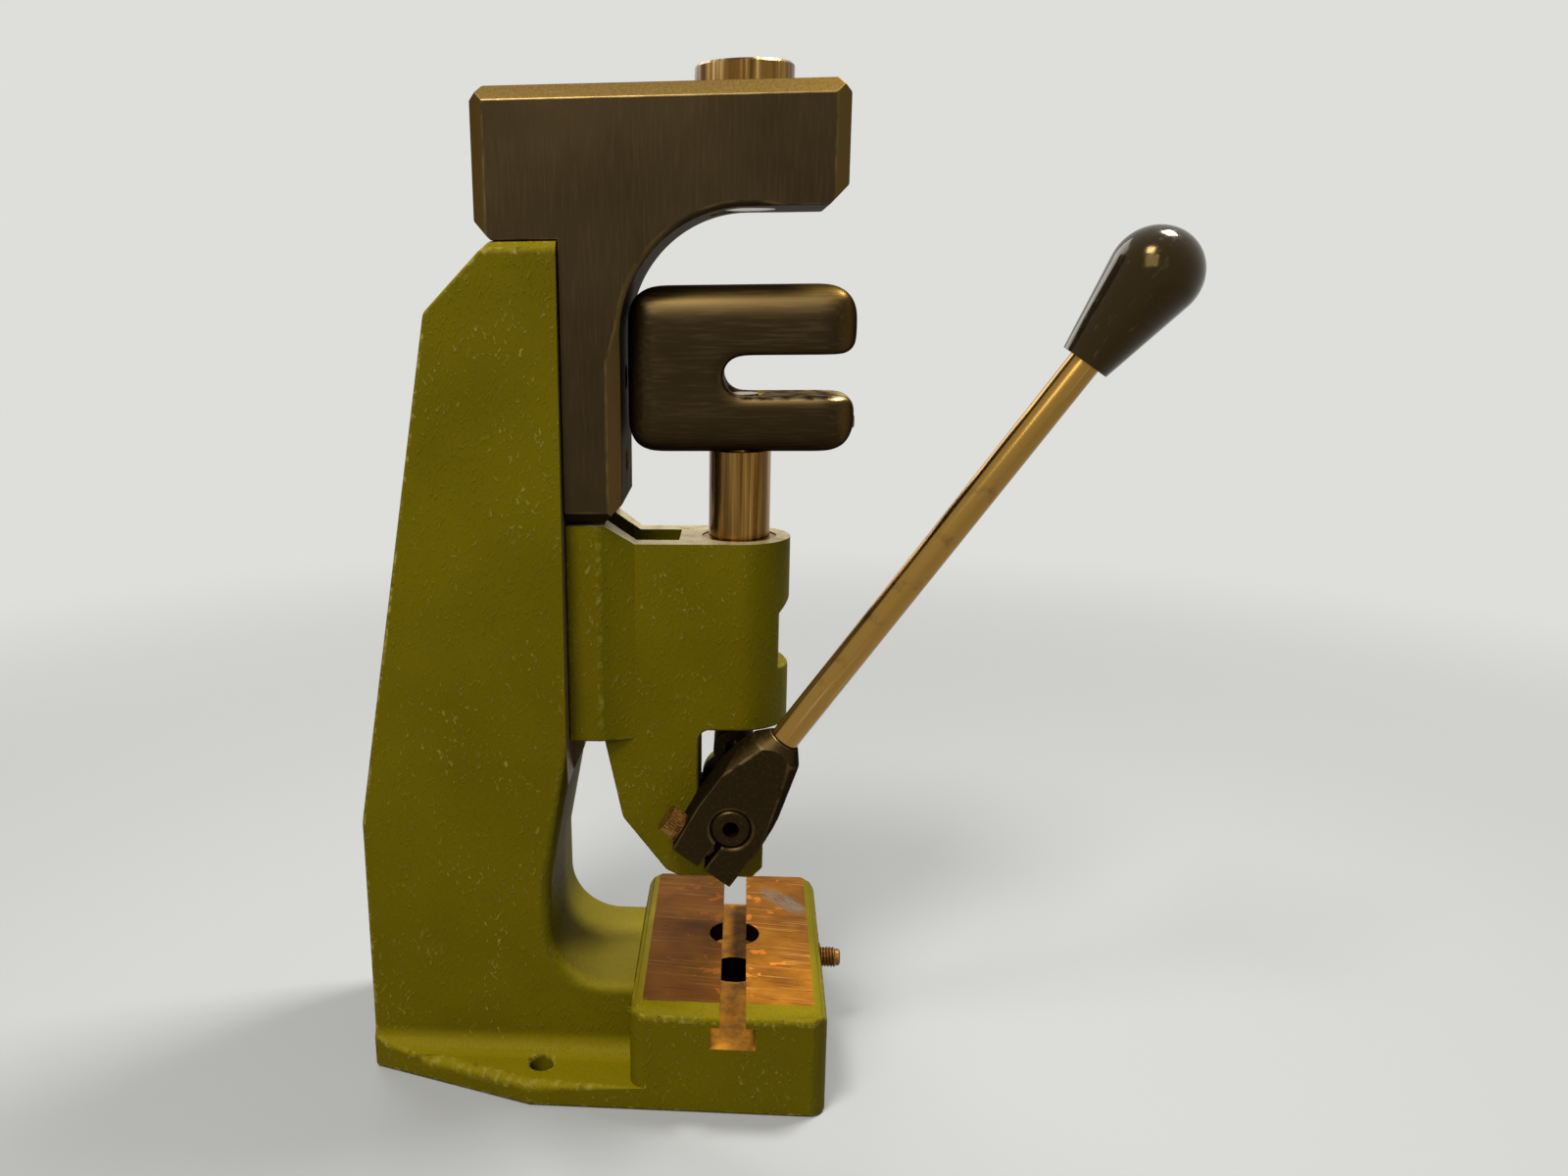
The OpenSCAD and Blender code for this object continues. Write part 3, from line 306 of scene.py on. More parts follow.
def bed_finish():
    """Milled cast iron under a film of rust: brown, streaked along the cut, darker towards the
    column with painted shadow and old oil, orange where water stood, and scraped grey in one place."""
    tree, place = new_finish("rusted_milled_iron")
    c = colours()
    # Brown clouds of 25 mm
    clouds = add(tree, "TexNoise", {"Vector": place, "Scale": 1 / (25 * MM), "Detail": 5.0, "Roughness": 0.6})
    tone = add(tree, "MapRange", {"Value": clouds, "From Min": 0.38, "From Max": 0.64})
    base = add(tree, "Mix", {SHARE: tone, FROM: linear("#6c3f06"), TO: linear("#945d0f")}, **MIXED)
    # Cutter streaks 1.2 mm wide and 24 mm long, a little aslant
    along = add(tree, "Mapping", {"Vector": place, "Rotation": (0, 0, -0.12), "Scale": (20, 1, 1)},
                vector_type="TEXTURE")
    streaks = add(tree, "TexNoise", {"Vector": along, "Scale": 1 / (1.2 * MM), "Detail": 3.0,
                                     "Roughness": 0.6})
    tone = add(tree, "MapRange", {"Value": streaks, "From Min": 0.5, "From Max": 0.7, "To Max": 0.45})
    base = add(tree, "Mix", {SHARE: tone, FROM: base, TO: c.bed_rust}, **MIXED)
    # A few dark drips along the cut, 2.6 mm wide
    along = add(tree, "Mapping", {"Vector": place, "Rotation": (0, 0, -0.14), "Scale": (9, 1, 1)},
                vector_type="TEXTURE")
    drips = add(tree, "TexNoise", {"Vector": along, "Scale": 1 / (2.6 * MM), "Detail": 4.0,
                                   "Roughness": 0.55})
    drips = add(tree, "MapRange", {"Value": drips, "From Min": 0.6, "From Max": 0.63, "To Max": 0.6})
    base = add(tree, "Mix", {SHARE: drips, FROM: base, TO: linear("#532e0e")}, **MIXED)
    # Bright rust along the T-slot, where water runs off: patches of 11 mm, and little of it elsewhere
    spread = add(tree, "TexNoise", {"Vector": place, "Scale": 1 / (11 * MM), "Detail": 5.0,
                                    "Roughness": 0.62})
    side = add(tree, "SeparateXYZ", {0: place}, out="X")
    side = add(tree, "Math", {0: side}, operation="ABSOLUTE")
    side = add(tree, "MapRange", {"Value": side, "From Min": 6 * MM, "From Max": 24 * MM, "To Min": 0.09,
                                  "To Max": 0.0})
    spread = add(tree, "Math", {0: spread, 1: side}, operation="ADD")
    orange = add(tree, "MapRange", {"Value": spread, "From Min": 0.64, "From Max": 0.66, "To Max": 0.9})
    base = add(tree, "Mix", {SHARE: orange, FROM: base, TO: linear("#c8701a")}, **MIXED)
    # Long fine scratches that leave the rust pale, drawn 0.9 mm wide so that they show
    along = add(tree, "Mapping", {"Vector": place, "Rotation": (0, 0, -0.1), "Scale": (45, 1, 1)},
                vector_type="TEXTURE")
    fine = add(tree, "TexNoise", {"Vector": along, "Scale": 1 / (0.9 * MM), "Detail": 1.0})
    fine = add(tree, "MapRange", {"Value": fine, "From Min": 0.62, "From Max": 0.68, "To Max": 0.6})
    base = add(tree, "Mix", {SHARE: fine, FROM: base, TO: linear("#bd8a48")}, **MIXED)
    # Painted shadow and old oil: the half towards the column is darkened, where the head's shadow falls
    rear = add(tree, "SeparateXYZ", {0: place}, out="X")
    rear = add(tree, "MapRange", {"Value": rear, "From Min": 2 * MM, "From Max": -6 * MM, "To Max": 0.7})
    base = add(tree, "Mix", {SHARE: rear, FROM: base, TO: linear("#462606")}, **MIXED)
    # A patch of 30 by 10 mm scraped down to grey iron, in fine lines
    there = add(tree, "Mapping", {"Vector": place, "Location": (0.0254, 0.037, BED_Z),
                                  "Rotation": (0, 0, -0.92), "Scale": (0.022, 0.008, 0.02)},
                vector_type="TEXTURE")
    patch = add(tree, "TexGradient", {"Vector": there}, out="Fac", gradient_type="SPHERICAL")
    patch = add(tree, "MapRange", {"Value": patch, "From Min": 0.05, "From Max": 0.45})
    lines = add(tree, "Mapping", {"Vector": place, "Rotation": (0, 0, -0.92), "Scale": (10, 1, 1)},
                vector_type="TEXTURE")
    scratches = add(tree, "TexNoise", {"Vector": lines, "Scale": 1 / (0.8 * MM), "Detail": 2.0})
    scratches = add(tree, "MapRange", {"Value": scratches, "From Min": 0.42, "From Max": 0.55})
    bare = add(tree, "Math", {0: patch, 1: scratches}, operation="MULTIPLY")
    base = add(tree, "Mix", {SHARE: bare, FROM: base, TO: linear("#6f685c")}, **MIXED)
    rough = add(tree, "MapRange", {"Value": streaks, "From Min": 0.3, "From Max": 0.7, "To Min": 0.42,
                                   "To Max": 0.62})
    raised = add(tree, "Bump", {"Height": streaks, "Strength": 0.25, "Distance": 0.1 * MM})
    shader = add(tree, "BsdfPrincipled", {"Base Color": base, "Roughness": rough, "Normal": raised,
                                          "Specular IOR Level": 0.06})
    add(tree, "OutputMaterial", {"Surface": shader})


def bare_iron_finish():
    """Milled iron left bare in slots, guides and on the head's top: pale grey-tan with tool marks, stains and
    specks of rust, rusted all over in the T-slot, and filmed brown on the guide."""
    tree, place = new_finish("bare_milled_iron")
    c = colours()
    # Stains of 7 mm and specks of 1.2 mm
    stains = add(tree, "TexNoise", {"Vector": place, "Scale": 1 / (7 * MM), "Detail": 6.0, "Roughness": 0.66})
    tone = add(tree, "MapRange", {"Value": stains, "From Min": 0.48, "From Max": 0.68, "To Max": 0.8})
    base = add(tree, "Mix", {SHARE: tone, FROM: c.bare_iron, TO: linear("#94682e")}, **MIXED)
    specks = add(tree, "TexNoise", {"Vector": place, "Scale": 1 / (1.2 * MM), "Detail": 3.0,
                                    "Roughness": 0.7})
    dots = add(tree, "MapRange", {"Value": specks, "From Min": 0.58, "From Max": 0.66, "To Max": 0.6})
    base = add(tree, "Mix", {SHARE: dots, FROM: base, TO: linear("#6d4f28")}, **MIXED)
    # Rust in the T-slot, below the bed
    height = add(tree, "SeparateXYZ", {0: place}, out="Z")
    low = add(tree, "MapRange", {"Value": height, "From Min": BED_Z + 2 * MM, "From Max": BED_Z,
                                 "To Max": 0.95})
    tone = add(tree, "MapRange", {"Value": stains, "From Min": 0.42, "From Max": 0.6})
    rust = add(tree, "Mix", {SHARE: tone, FROM: linear("#7c4f08"), TO: linear("#a96d12")}, **MIXED)
    base = add(tree, "Mix", {SHARE: low, FROM: base, TO: rust}, **MIXED)
    # A brown film on the guide
    rear = add(tree, "SeparateXYZ", {0: place}, out="X")
    rear = add(tree, "MapRange", {"Value": rear, "From Min": GUIDE_X + 12 * MM, "From Max": GUIDE_X + 8 * MM,
                                  "To Max": 0.7})
    base = add(tree, "Mix", {SHARE: rear, FROM: base, TO: linear("#544020")}, **MIXED)
    # Tool marks 0.9 mm wide and 11 mm long
    along = add(tree, "Mapping", {"Vector": place, "Scale": (1, 12, 1)}, vector_type="TEXTURE")
    marks = add(tree, "TexNoise", {"Vector": along, "Scale": 1 / (0.9 * MM), "Detail": 2.0})
    metal = add(tree, "MapRange", {"Value": height, "From Min": BED_Z, "From Max": BED_Z + 2 * MM,
                                   "To Min": 0.08, "To Max": 0.55})
    rough = add(tree, "MapRange", {"Value": specks, "From Min": 0.3, "From Max": 0.7, "To Min": 0.36,
                                   "To Max": 0.55})
    raised = add(tree, "Bump", {"Height": marks, "Strength": 0.25, "Distance": 0.1 * MM})
    shader = add(tree, "BsdfPrincipled", {"Base Color": base, "Metallic": metal, "Roughness": rough,
                                          "Normal": raised, "Specular IOR Level": 0.06})
    add(tree, "OutputMaterial", {"Surface": shader})


def black_oxide_finish(name, depth, top_sheen, line_mm, line_shape, line_depth):
    """Milled or ground steel after a hot black-oxide bath: satin brown-black with the cutter's lines, a
    painted tan sheen on top, and paler where the edges are rubbed."""
    tree, place = new_finish(name)
    c = colours()
    # Clouds of 35 mm in the oxide, then the cutter's lines
    clouds = add(tree, "TexNoise", {"Vector": place, "Scale": 1 / (35 * MM), "Detail": 4.0})
    tone = add(tree, "MapRange", {"Value": clouds, "From Min": 0.35, "From Max": 0.68, "To Max": 0.7})
    base = add(tree, "Mix", {SHARE: tone, FROM: c.black_oxide, TO: linear("#2f2515")}, **MIXED)
    base = add(tree, "Mix", {SHARE: depth, FROM: base, TO: linear("#1d1405")}, **MIXED)
    along = add(tree, "Mapping", {"Vector": place, "Scale": line_shape}, vector_type="TEXTURE")
    lines = add(tree, "TexNoise", {"Vector": along, "Scale": 1 / (line_mm * MM), "Detail": 3.0,
                                   "Roughness": 0.55})
    tone = add(tree, "MapRange", {"Value": lines, "From Min": 0.5, "From Max": 0.72, "To Max": line_depth})
    base = add(tree, "Mix", {SHARE: tone, FROM: base, TO: linear("#5c4c33")}, **MIXED)
    # Painted sheen: tan on what faces up, and half of it on the upright corners, for the light that they
    # reflect
    normal = add(tree, "NewGeometry", out="Normal")
    upward = add(tree, "SeparateXYZ", {0: normal}, out="Z")
    upward = add(tree, "MapRange", {"Value": upward, "From Min": 0.05, "From Max": 0.6, "To Max": top_sheen})
    turned = add(tree, "VectorMath", {0: normal, 1: normal}, out="Vector", operation="MULTIPLY")
    corner = add(tree, "VectorMath", {0: turned, 1: (1, 1, 0)}, out="Value", operation="DOT_PRODUCT")
    sides = add(tree, "VectorMath", {0: turned, 1: turned}, out="Value", operation="DOT_PRODUCT")
    corner = add(tree, "Math", {0: corner, 1: sides}, operation="SUBTRACT")
    corner = add(tree, "MapRange", {"Value": corner, "From Min": 0.2, "From Max": 0.45,
                                    "To Max": top_sheen / 2})
    painted_sheen = add(tree, "Math", {0: upward, 1: corner}, operation="MAXIMUM")
    base = add(tree, "Mix", {SHARE: painted_sheen, FROM: base, TO: linear("#8f7340")}, **MIXED)
    # The rounded edges, rubbed in runs of 8 mm
    edges = add(tree, "Attribute", out="Fac", attribute_name="rounded")
    worn = add(tree, "TexNoise", {"Vector": place, "Scale": 1 / (8 * MM), "Detail": 3.0})
    worn = add(tree, "MapRange", {"Value": worn, "From Min": 0.35, "From Max": 0.62, "To Min": 0.05,
                                  "To Max": 0.6})
    rubbed = add(tree, "Math", {0: edges, 1: worn}, operation="MULTIPLY")
    base = add(tree, "Mix", {SHARE: rubbed, FROM: base, TO: c.oxide_worn}, **MIXED)
    rough = add(tree, "MapRange", {"Value": lines, "From Min": 0.3, "From Max": 0.7, "To Min": 0.36,
                                   "To Max": 0.48})
    raised = add(tree, "Bump", {"Height": lines, "Strength": line_depth, "Distance": 0.06 * MM})
    shader = add(tree, "BsdfPrincipled", {"Base Color": base, "Metallic": 0.95, "Roughness": rough,
                                          "Normal": raised, "Specular Tint": linear("#7d6a50")})
    add(tree, "OutputMaterial", {"Surface": shader})


def fork_finish():
    """Black-oxidised steel ground by hand along the block: as the bracket, with brushed lines and a slot that
    the work has rubbed bright."""
    black_oxide_finish("black_oxide_ground", depth=0.3, top_sheen=0.22, line_mm=1.1, line_shape=(16, 1, 1),
                       line_depth=0.22)
    tree = bpy.data.materials["black_oxide_ground"].node_tree
    shader = tree.nodes["Principled BSDF"]
    base = shader.inputs["Base Color"].links[0].from_socket
    place = tree.nodes["Texture Coordinate"].outputs["Object"]
    # Bright spots of 7 mm on the slot's floor
    height = add(tree, "SeparateXYZ", {0: place}, out="Z")
    floor = add(tree, "MapRange", {"Value": height, "From Min": SLOT_FLOOR + 2.5 * MM,
                                   "From Max": SLOT_FLOOR + 0.6 * MM})
    normal = add(tree, "NewGeometry", out="Normal")
    upward = add(tree, "SeparateXYZ", {0: normal}, out="Z")
    upward = add(tree, "MapRange", {"Value": upward, "From Min": 0.6, "From Max": 0.9})
    above = add(tree, "Math", {0: height, 1: SLOT_FLOOR - 2 * MM}, operation="GREATER_THAN")
    bright = add(tree, "Math", {0: floor, 1: upward}, operation="MULTIPLY")
    bright = add(tree, "Math", {0: bright, 1: above}, operation="MULTIPLY")
    spots = add(tree, "TexNoise", {"Vector": place, "Scale": 1 / (7 * MM), "Detail": 4.0})
    spots = add(tree, "MapRange", {"Value": spots, "From Min": 0.4, "From Max": 0.6})
    bright = add(tree, "Math", {0: bright, 1: spots}, operation="MULTIPLY")
    rubbed = add(tree, "Mix", {SHARE: bright, FROM: base, TO: linear("#c0ab7c")}, **MIXED)
    tree.links.new(rubbed, shader.inputs["Base Color"])


def bright_steel_finish(name, turn, line_mm, dull):
    """Drawn or ground bare steel: a bright warm metal with long streaks along its length and a few brown
    stains."""
    tree, place = new_finish(name)
    c = colours()
    # Streaks 60 times as long as wide, then stains of 14 mm
    along = add(tree, "Mapping", {"Vector": place, "Rotation": turn, "Scale": (1, 1, 60)},
                vector_type="TEXTURE")
    streaks = add(tree, "TexNoise", {"Vector": along, "Scale": 1 / (line_mm * MM), "Detail": 3.0,
                                     "Roughness": 0.55})
    tone = add(tree, "MapRange", {"Value": streaks, "From Min": 0.42, "From Max": 0.6})
    base = add(tree, "Mix", {SHARE: tone, FROM: dull, TO: c.bright_steel}, **MIXED)
    tone = add(tree, "MapRange", {"Value": streaks, "From Min": 0.57, "From Max": 0.67, "To Max": 0.9})
    base = add(tree, "Mix", {SHARE: tone, FROM: base, TO: linear("#d8b478")}, **MIXED)
    stains = add(tree, "TexNoise", {"Vector": place, "Scale": 1 / (14 * MM), "Detail": 5.0,
                                    "Roughness": 0.62})
    tone = add(tree, "MapRange", {"Value": stains, "From Min": 0.6, "From Max": 0.72, "To Max": 0.7})
    base = add(tree, "Mix", {SHARE: tone, FROM: base, TO: linear("#6f5330")}, **MIXED)
    rough = add(tree, "MapRange", {"Value": streaks, "From Min": 0.3, "From Max": 0.7, "To Min": 0.16,
                                   "To Max": 0.3})
    shader = add(tree, "BsdfPrincipled", {"Base Color": base, "Metallic": 1.0, "Roughness": rough})
    add(tree, "OutputMaterial", {"Surface": shader})


def rusty_screw_finish():
    """Bare screw steel gone brown: grains of 1.1 mm worn bright, in clouds of darker rust."""
    tree, place = new_finish("rusty_screw_steel")
    grains = add(tree, "TexNoise", {"Vector": place, "Scale": 1 / (1.1 * MM), "Detail": 4.0,
                                    "Roughness": 0.65})
    tone = add(tree, "MapRange", {"Value": grains, "From Min": 0.4, "From Max": 0.62})
    base = add(tree, "Mix", {SHARE: tone, FROM: linear("#684619"), TO: linear("#8f6a32")}, **MIXED)
    clouds = add(tree, "TexNoise", {"Vector": place, "Scale": 1 / (5 * MM), "Detail": 3.0})
    tone = add(tree, "MapRange", {"Value": clouds, "From Min": 0.5, "From Max": 0.66, "To Max": 0.6})
    base = add(tree, "Mix", {SHARE: tone, FROM: base, TO: linear("#683c12")}, **MIXED)
    rough = add(tree, "MapRange", {"Value": grains, "From Min": 0.3, "From Max": 0.7, "To Min": 0.24,
                                   "To Max": 0.45})
    raised = add(tree, "Bump", {"Height": grains, "Strength": 0.3, "Distance": 0.1 * MM})
    shader = add(tree, "BsdfPrincipled", {"Base Color": base, "Metallic": 0.85, "Roughness": rough,
                                          "Normal": raised})
    add(tree, "OutputMaterial", {"Surface": shader})


def bronze_finish():
    """Turned bearing bronze: a warm metal dulled by oil, with turning rings that are drawn 0.6 mm apart so
    that they show."""
    tree, place = new_finish("turned_bronze")
    around = add(tree, "Mapping", {"Vector": place, "Scale": (10, 10, 1)}, vector_type="TEXTURE")
    rings = add(tree, "TexNoise", {"Vector": around, "Scale": 1 / (0.6 * MM), "Detail": 2.0})
    tone = add(tree, "MapRange", {"Value": rings, "From Min": 0.35, "From Max": 0.65})
    base = add(tree, "Mix", {SHARE: tone, FROM: linear("#8a6a33"), TO: linear("#b08a48")}, **MIXED)
    rough = add(tree, "MapRange", {"Value": rings, "From Min": 0.3, "From Max": 0.7, "To Min": 0.28,
                                   "To Max": 0.42})
    shader = add(tree, "BsdfPrincipled", {"Base Color": base, "Metallic": 1.0, "Roughness": rough})
    add(tree, "OutputMaterial", {"Surface": shader})


def grip_finish():
    """Moulded black phenolic: deep gloss, with reflections painted warm, rub marks 1.6 mm wide along the
    lever and a faint ripple of the mould."""
    tree, place = new_finish("moulded_black_phenolic")
    c = colours()
    along = add(tree, "Mapping", {"Vector": place, "Rotation": (ROD_LEAN, ROD_TILT, 0), "Scale": (1, 1, 5)},
                vector_type="TEXTURE")
    rubs = add(tree, "TexNoise", {"Vector": along, "Scale": 1 / (1.6 * MM), "Detail": 4.0, "Roughness": 0.6})
    tone = add(tree, "MapRange", {"Value": rubs, "From Min": 0.6, "From Max": 0.74})
    base = add(tree, "Mix", {SHARE: tone, FROM: c.grip_black, TO: linear("#332b20")}, **MIXED)
    rough = add(tree, "MapRange", {"Value": rubs, "From Min": 0.35, "From Max": 0.75, "To Min": 0.08,
                                   "To Max": 0.24})
    ripple = add(tree, "TexNoise", {"Vector": place, "Scale": 1 / (14 * MM), "Detail": 1.0})
    raised = add(tree, "Bump", {"Height": ripple, "Strength": 0.12, "Distance": 0.4 * MM})
    # The specular tint paints the reflections warm, as under warm light
    shader = add(tree, "BsdfPrincipled", {"Base Color": base, "Roughness": rough, "Normal": raised,
                                          "IOR": 1.58, "Specular Tint": linear("#bd9c5c")})
    add(tree, "OutputMaterial", {"Surface": shader})


def finishes():
    """The press's finishes, made once."""
    if "olive_machine_enamel" not in bpy.data.materials:
        enamel_finish()
        bed_finish()
        bare_iron_finish()
        black_oxide_finish("black_oxide_milled", depth=0.05, top_sheen=0.5, line_mm=1.0, line_shape=(1, 1, 18),
                           line_depth=0.11)
        black_oxide_finish("black_oxide_plain", depth=0.6, top_sheen=0.08, line_mm=1.6, line_shape=(1, 1, 1),
                           line_depth=0.15)
        fork_finish()
        bright_steel_finish("bright_ground_steel", turn=(0, 0, 0), line_mm=3.5, dull=linear("#60441f"))
        bright_steel_finish("bright_drawn_steel", turn=(ROD_LEAN, ROD_TILT, 0), line_mm=2.6,
                            dull=linear("#9a7638"))
        rusty_screw_finish()
        bronze_finish()
        grip_finish()
    return bpy.data.materials


# Shapes


def cad_copy(node):
    """A merged bmesh copy of a CAD node, with its flat faces joined."""
    bm = bmesh.new()
    bm.from_mesh(frame["nodes"][node].data)
    bm.faces.layers.float.new("rounded")
    bmesh.ops.remove_doubles(bm, verts=bm.verts, dist=MERGED)
    for face in bm.faces:
        face.material_index = 0
    bmesh.ops.dissolve_limit(bm, angle_limit=FLAT, verts=bm.verts, edges=bm.edges)
    return bm


def round_edges(bm, radius, segments, wear, wanted=None):
    """Rounds the outer edges between faces of the first finish, where they are wanted and have room, and
    keeps how worn they are."""
    layer = bm.faces.layers.float["rounded"]
    found = set()
    for edge in bm.edges:
        if len(edge.link_faces) != 2 or not edge.is_convex or edge.calc_face_angle(0) < CORNER:
            continue
        if any(face.material_index or face[layer] for face in edge.link_faces):
            continue
        if wanted is None or wanted((edge.verts[0].co + edge.verts[1].co) / 2, edge):
            found.add(edge)
    # An edge that ends at a short outer one which stays would fold over
    cramped = found
    while cramped:
        cramped = {edge for edge in found for vert in edge.verts for other in vert.link_edges
                   if other not in found and other.is_convex and other.calc_length() < ROOM * radius}
        found -= cramped
    made = bmesh.ops.bevel(bm, geom=[edge for edge in bm.edges if edge in found], offset=radius,
                           offset_type="OFFSET", affect="EDGES", segments=segments, profile=0.5, material=-1,
                           clamp_overlap=False, loop_slide=True)
    for face in made["faces"]:
        face[layer] = wear


def finish_piece(bm, name, looks, body, node, crease):
    """The piece as an object at the origin, in place of its node. Edges that turn by more than the crease, in
    degrees, stay sharp unless they are rounded."""
    layer = bm.faces.layers.float.get("rounded")
    for edge in bm.edges:
        turn = math.degrees(edge.calc_face_angle(0))
        rounded = layer is not None and any(face[layer] for face in edge.link_faces)
        edge.smooth = turn < (ROUNDED_CREASE if rounded else crease)
    for face in bm.faces:
        face.smooth = True
    mesh = bpy.data.meshes.new(name)
    bm.to_mesh(mesh)
    bm.free()
    for look in looks:
        mesh.materials.append(finishes()[look])
    made = bpy.data.objects.new(name, mesh)
    bpy.context.scene.collection.objects.link(made)
    flats = made.modifiers.new("flats", "WEIGHTED_NORMAL")
    flats.keep_sharp = True
    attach(made, body)
    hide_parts(node)
    return made


def frame_look(face):
    """The finish of one face of the frame casting."""
    at, normal = face.calc_center_median(), face.normal
    in_block = at.x > BLOCK_START
    if in_block and normal.z > STRAIGHT and abs(at.z - BED_Z) < NEAR:
        return "rusted_milled_iron"
    # The bore is as black with oil as the black parts are with oxide
    if abs(at.xy.length - BORE_R) < FACETED and abs(normal.z) < HALF:
        return "black_oxide_plain"
    if in_block and abs(at.x) < BORE_R and BED_Z - SLOT_DEPTH < at.z < BED_Z and abs(normal.y) < ALMOST:
        return "bare_milled_iron"
    on_guide = GUIDE_X - BESIDE < at.x < GUIDE_X + GUIDE_REACH and at.z > GUIDE_LOW and normal.x > -HALF
    if on_guide and (abs(normal.y) < ALMOST or abs(at.y) < RIB_HALF):
        return "bare_milled_iron"
    return "olive_machine_enamel"


class PRESS_OT_frame(bpy.types.Operator):
    """Painted C-frame with its milled bed, slot, bore and guide"""

    bl_idname = "press.frame"
    bl_label = "Frame casting"

    def execute(self, context):
        s = sizes()
        bm = cad_copy("frame")
        looks = ("olive_machine_enamel", "rusted_milled_iron", "bare_milled_iron", "black_oxide_plain")
        for face in bm.faces:
            face.material_index = looks.index(frame_look(face))
        round_edges(bm, s.throat_edge, segments=5, wear=0.1,
                    wanted=lambda at, edge: (THROAT_X[0] < at.x < THROAT_X[1]
                                             and THROAT_Z[0] < at.z < THROAT_Z[1]))
        round_edges(bm, s.foot_edge, segments=4, wear=0.5,
                    wanted=lambda at, edge: (FOOT_Z[0] < at.z < FOOT_Z[1] and abs(at.y) > FOOT_Y
                                             and edge.calc_length() > FOOT_RUN))
        round_edges(bm, s.cast_edge, segments=3, wear=0.8)
        finish_piece(bm, "frame_casting", looks, "frame", "frame", crease=12)
        return {"FINISHED"}


class PRESS_OT_head(bpy.types.Operator):
    """Painted press head with its guide cheeks, nose and shaft plates"""

    bl_idname = "press.head"
    bl_label = "Head casting"

    def execute(self, context):
        bm = cad_copy("head")
        for face in bm.faces:
            if face.normal.z > MOSTLY and face.calc_center_median().z > HEAD_TOP - BESIDE:
                face.material_index = 1
        # The head is a finer casting than the frame
        round_edges(bm, sizes().cast_edge * 0.8, segments=3, wear=0.3)
        finish_piece(bm, "head_casting", ("olive_machine_enamel", "bare_milled_iron"), "head",
                     "head", crease=12)
        return {"FINISHED"}


class PRESS_OT_fork(bpy.types.Operator):
    """Slotted fork block, ground round on all its edges"""

    bl_idname = "press.fork"
    bl_label = "Fork block"

    def execute(self, context):
        made = finish_piece(cad_copy("fork"), "fork_block", ("black_oxide_ground",), "ram",
                            "fork", crease=180)
        # Its flats come from the grid and not from the weighted normals
        made.modifiers.clear()
        grid = made.modifiers.new("grid", "REMESH")
        grid.mode = "VOXEL"
        grid.voxel_size = sizes().fork_grid
        grid.use_smooth_shade = True
        ground = made.modifiers.new("ground", "SMOOTH")
        ground.factor = 0.5
        ground.iterations = 50
        return {"FINISHED"}


class PRESS_OT_bracket(bpy.types.Operator):
    """Black steel bracket over the ram, with broken edges"""

    bl_idname = "press.bracket"
    bl_label = "Top bracket"

    def execute(self, context):
        bm = cad_copy("top_bracket")
        round_edges(bm, sizes().milled_edge, segments=2, wear=0.3)
        finish_piece(bm, "bracket_block", ("black_oxide_milled",), "frame", "top_bracket",
                     crease=20)
        return {"FINISHED"}


class PRESS_OT_lever_hub(bpy.types.Operator):
    """Clamp hub of the lever, with softened edges"""

    bl_idname = "press.lever_hub"
    bl_label = "Lever hub"

    def execute(self, context):
        bm = cad_copy("lever_hub")
        # Handled more than the bracket, so a little rounder
        round_edges(bm, sizes().milled_edge * 1.3, segments=3, wear=0.25)
        finish_piece(bm, "clamp_hub", ("black_oxide_plain",), "lever", "lever_hub", crease=20)
        return {"FINISHED"}


class PRESS_OT_die_screw(bpy.types.Operator):
    """Threaded clamp screw in the front of the base"""

    bl_idname = "press.die_screw"
    bl_label = "Die clamp screw"

    def execute(self, context):
        s = sizes()
        crest = (DIE_SCREW_HIGH.z - DIE_SCREW_LOW.z) / 2
        root = crest - s.thread_depth
        length = DIE_SCREW_HIGH.x - DIE_SCREW_LOW.x
        turns = int((length - 2 * s.thread_depth) / s.thread_pitch) - 1
        steps = 40
        bm = bmesh.new()
        # One tooth along the pitch: from the root to the flat crest and back, wound up the screw
        tooth = [bm.verts.new((r, 0, s.thread_depth + z * s.thread_pitch))
                 for r, z in ((root, 0), (crest, 0.42), (crest, 0.58), (root, 1))]
        sides = [bm.edges.new(pair) for pair in zip(tooth, tooth[1:])]
        bmesh.ops.spin(bm, geom=tooth + sides, cent=(0, 0, 0), axis=(0, 0, 1), angle=math.tau * turns,
                       steps=steps * turns, dvec=(0, 0, s.thread_pitch / steps), use_merge=False)
        # The core, with both ends chamfered and a round socket in the outer one
        socket, tip, shoulder = root * 0.6, root - s.thread_depth, length - s.thread_depth
        core = [bm.verts.new((r, 0, z)) for r, z in
                ((0, 0), (tip, 0), (root, s.thread_depth), (root, shoulder), (tip, length), (socket, length),
                 (socket, length - root), (0, length - root))]
        sides = [bm.edges.new(pair) for pair in zip(core, core[1:])]
        bmesh.ops.spin(bm, geom=core + sides, cent=(0, 0, 0), axis=(0, 0, 1), angle=math.tau, steps=steps,
                       use_merge=True)
        bmesh.ops.remove_doubles(bm, verts=bm.verts, dist=1e-6)
        bmesh.ops.recalc_face_normals(bm, faces=bm.faces)
        middle = (DIE_SCREW_LOW.z + DIE_SCREW_HIGH.z) / 2
        place = Matrix.Translation((DIE_SCREW_LOW.x, 0, middle)) @ Matrix.Rotation(math.radians(90), 4, "Y")
        bmesh.ops.transform(bm, matrix=place, verts=bm.verts)
        finish_piece(bm, "die_screw_threaded", ("rusty_screw_steel",), "die_screw",
                     "die_clamp_screw", crease=40)
        return {"FINISHED"}


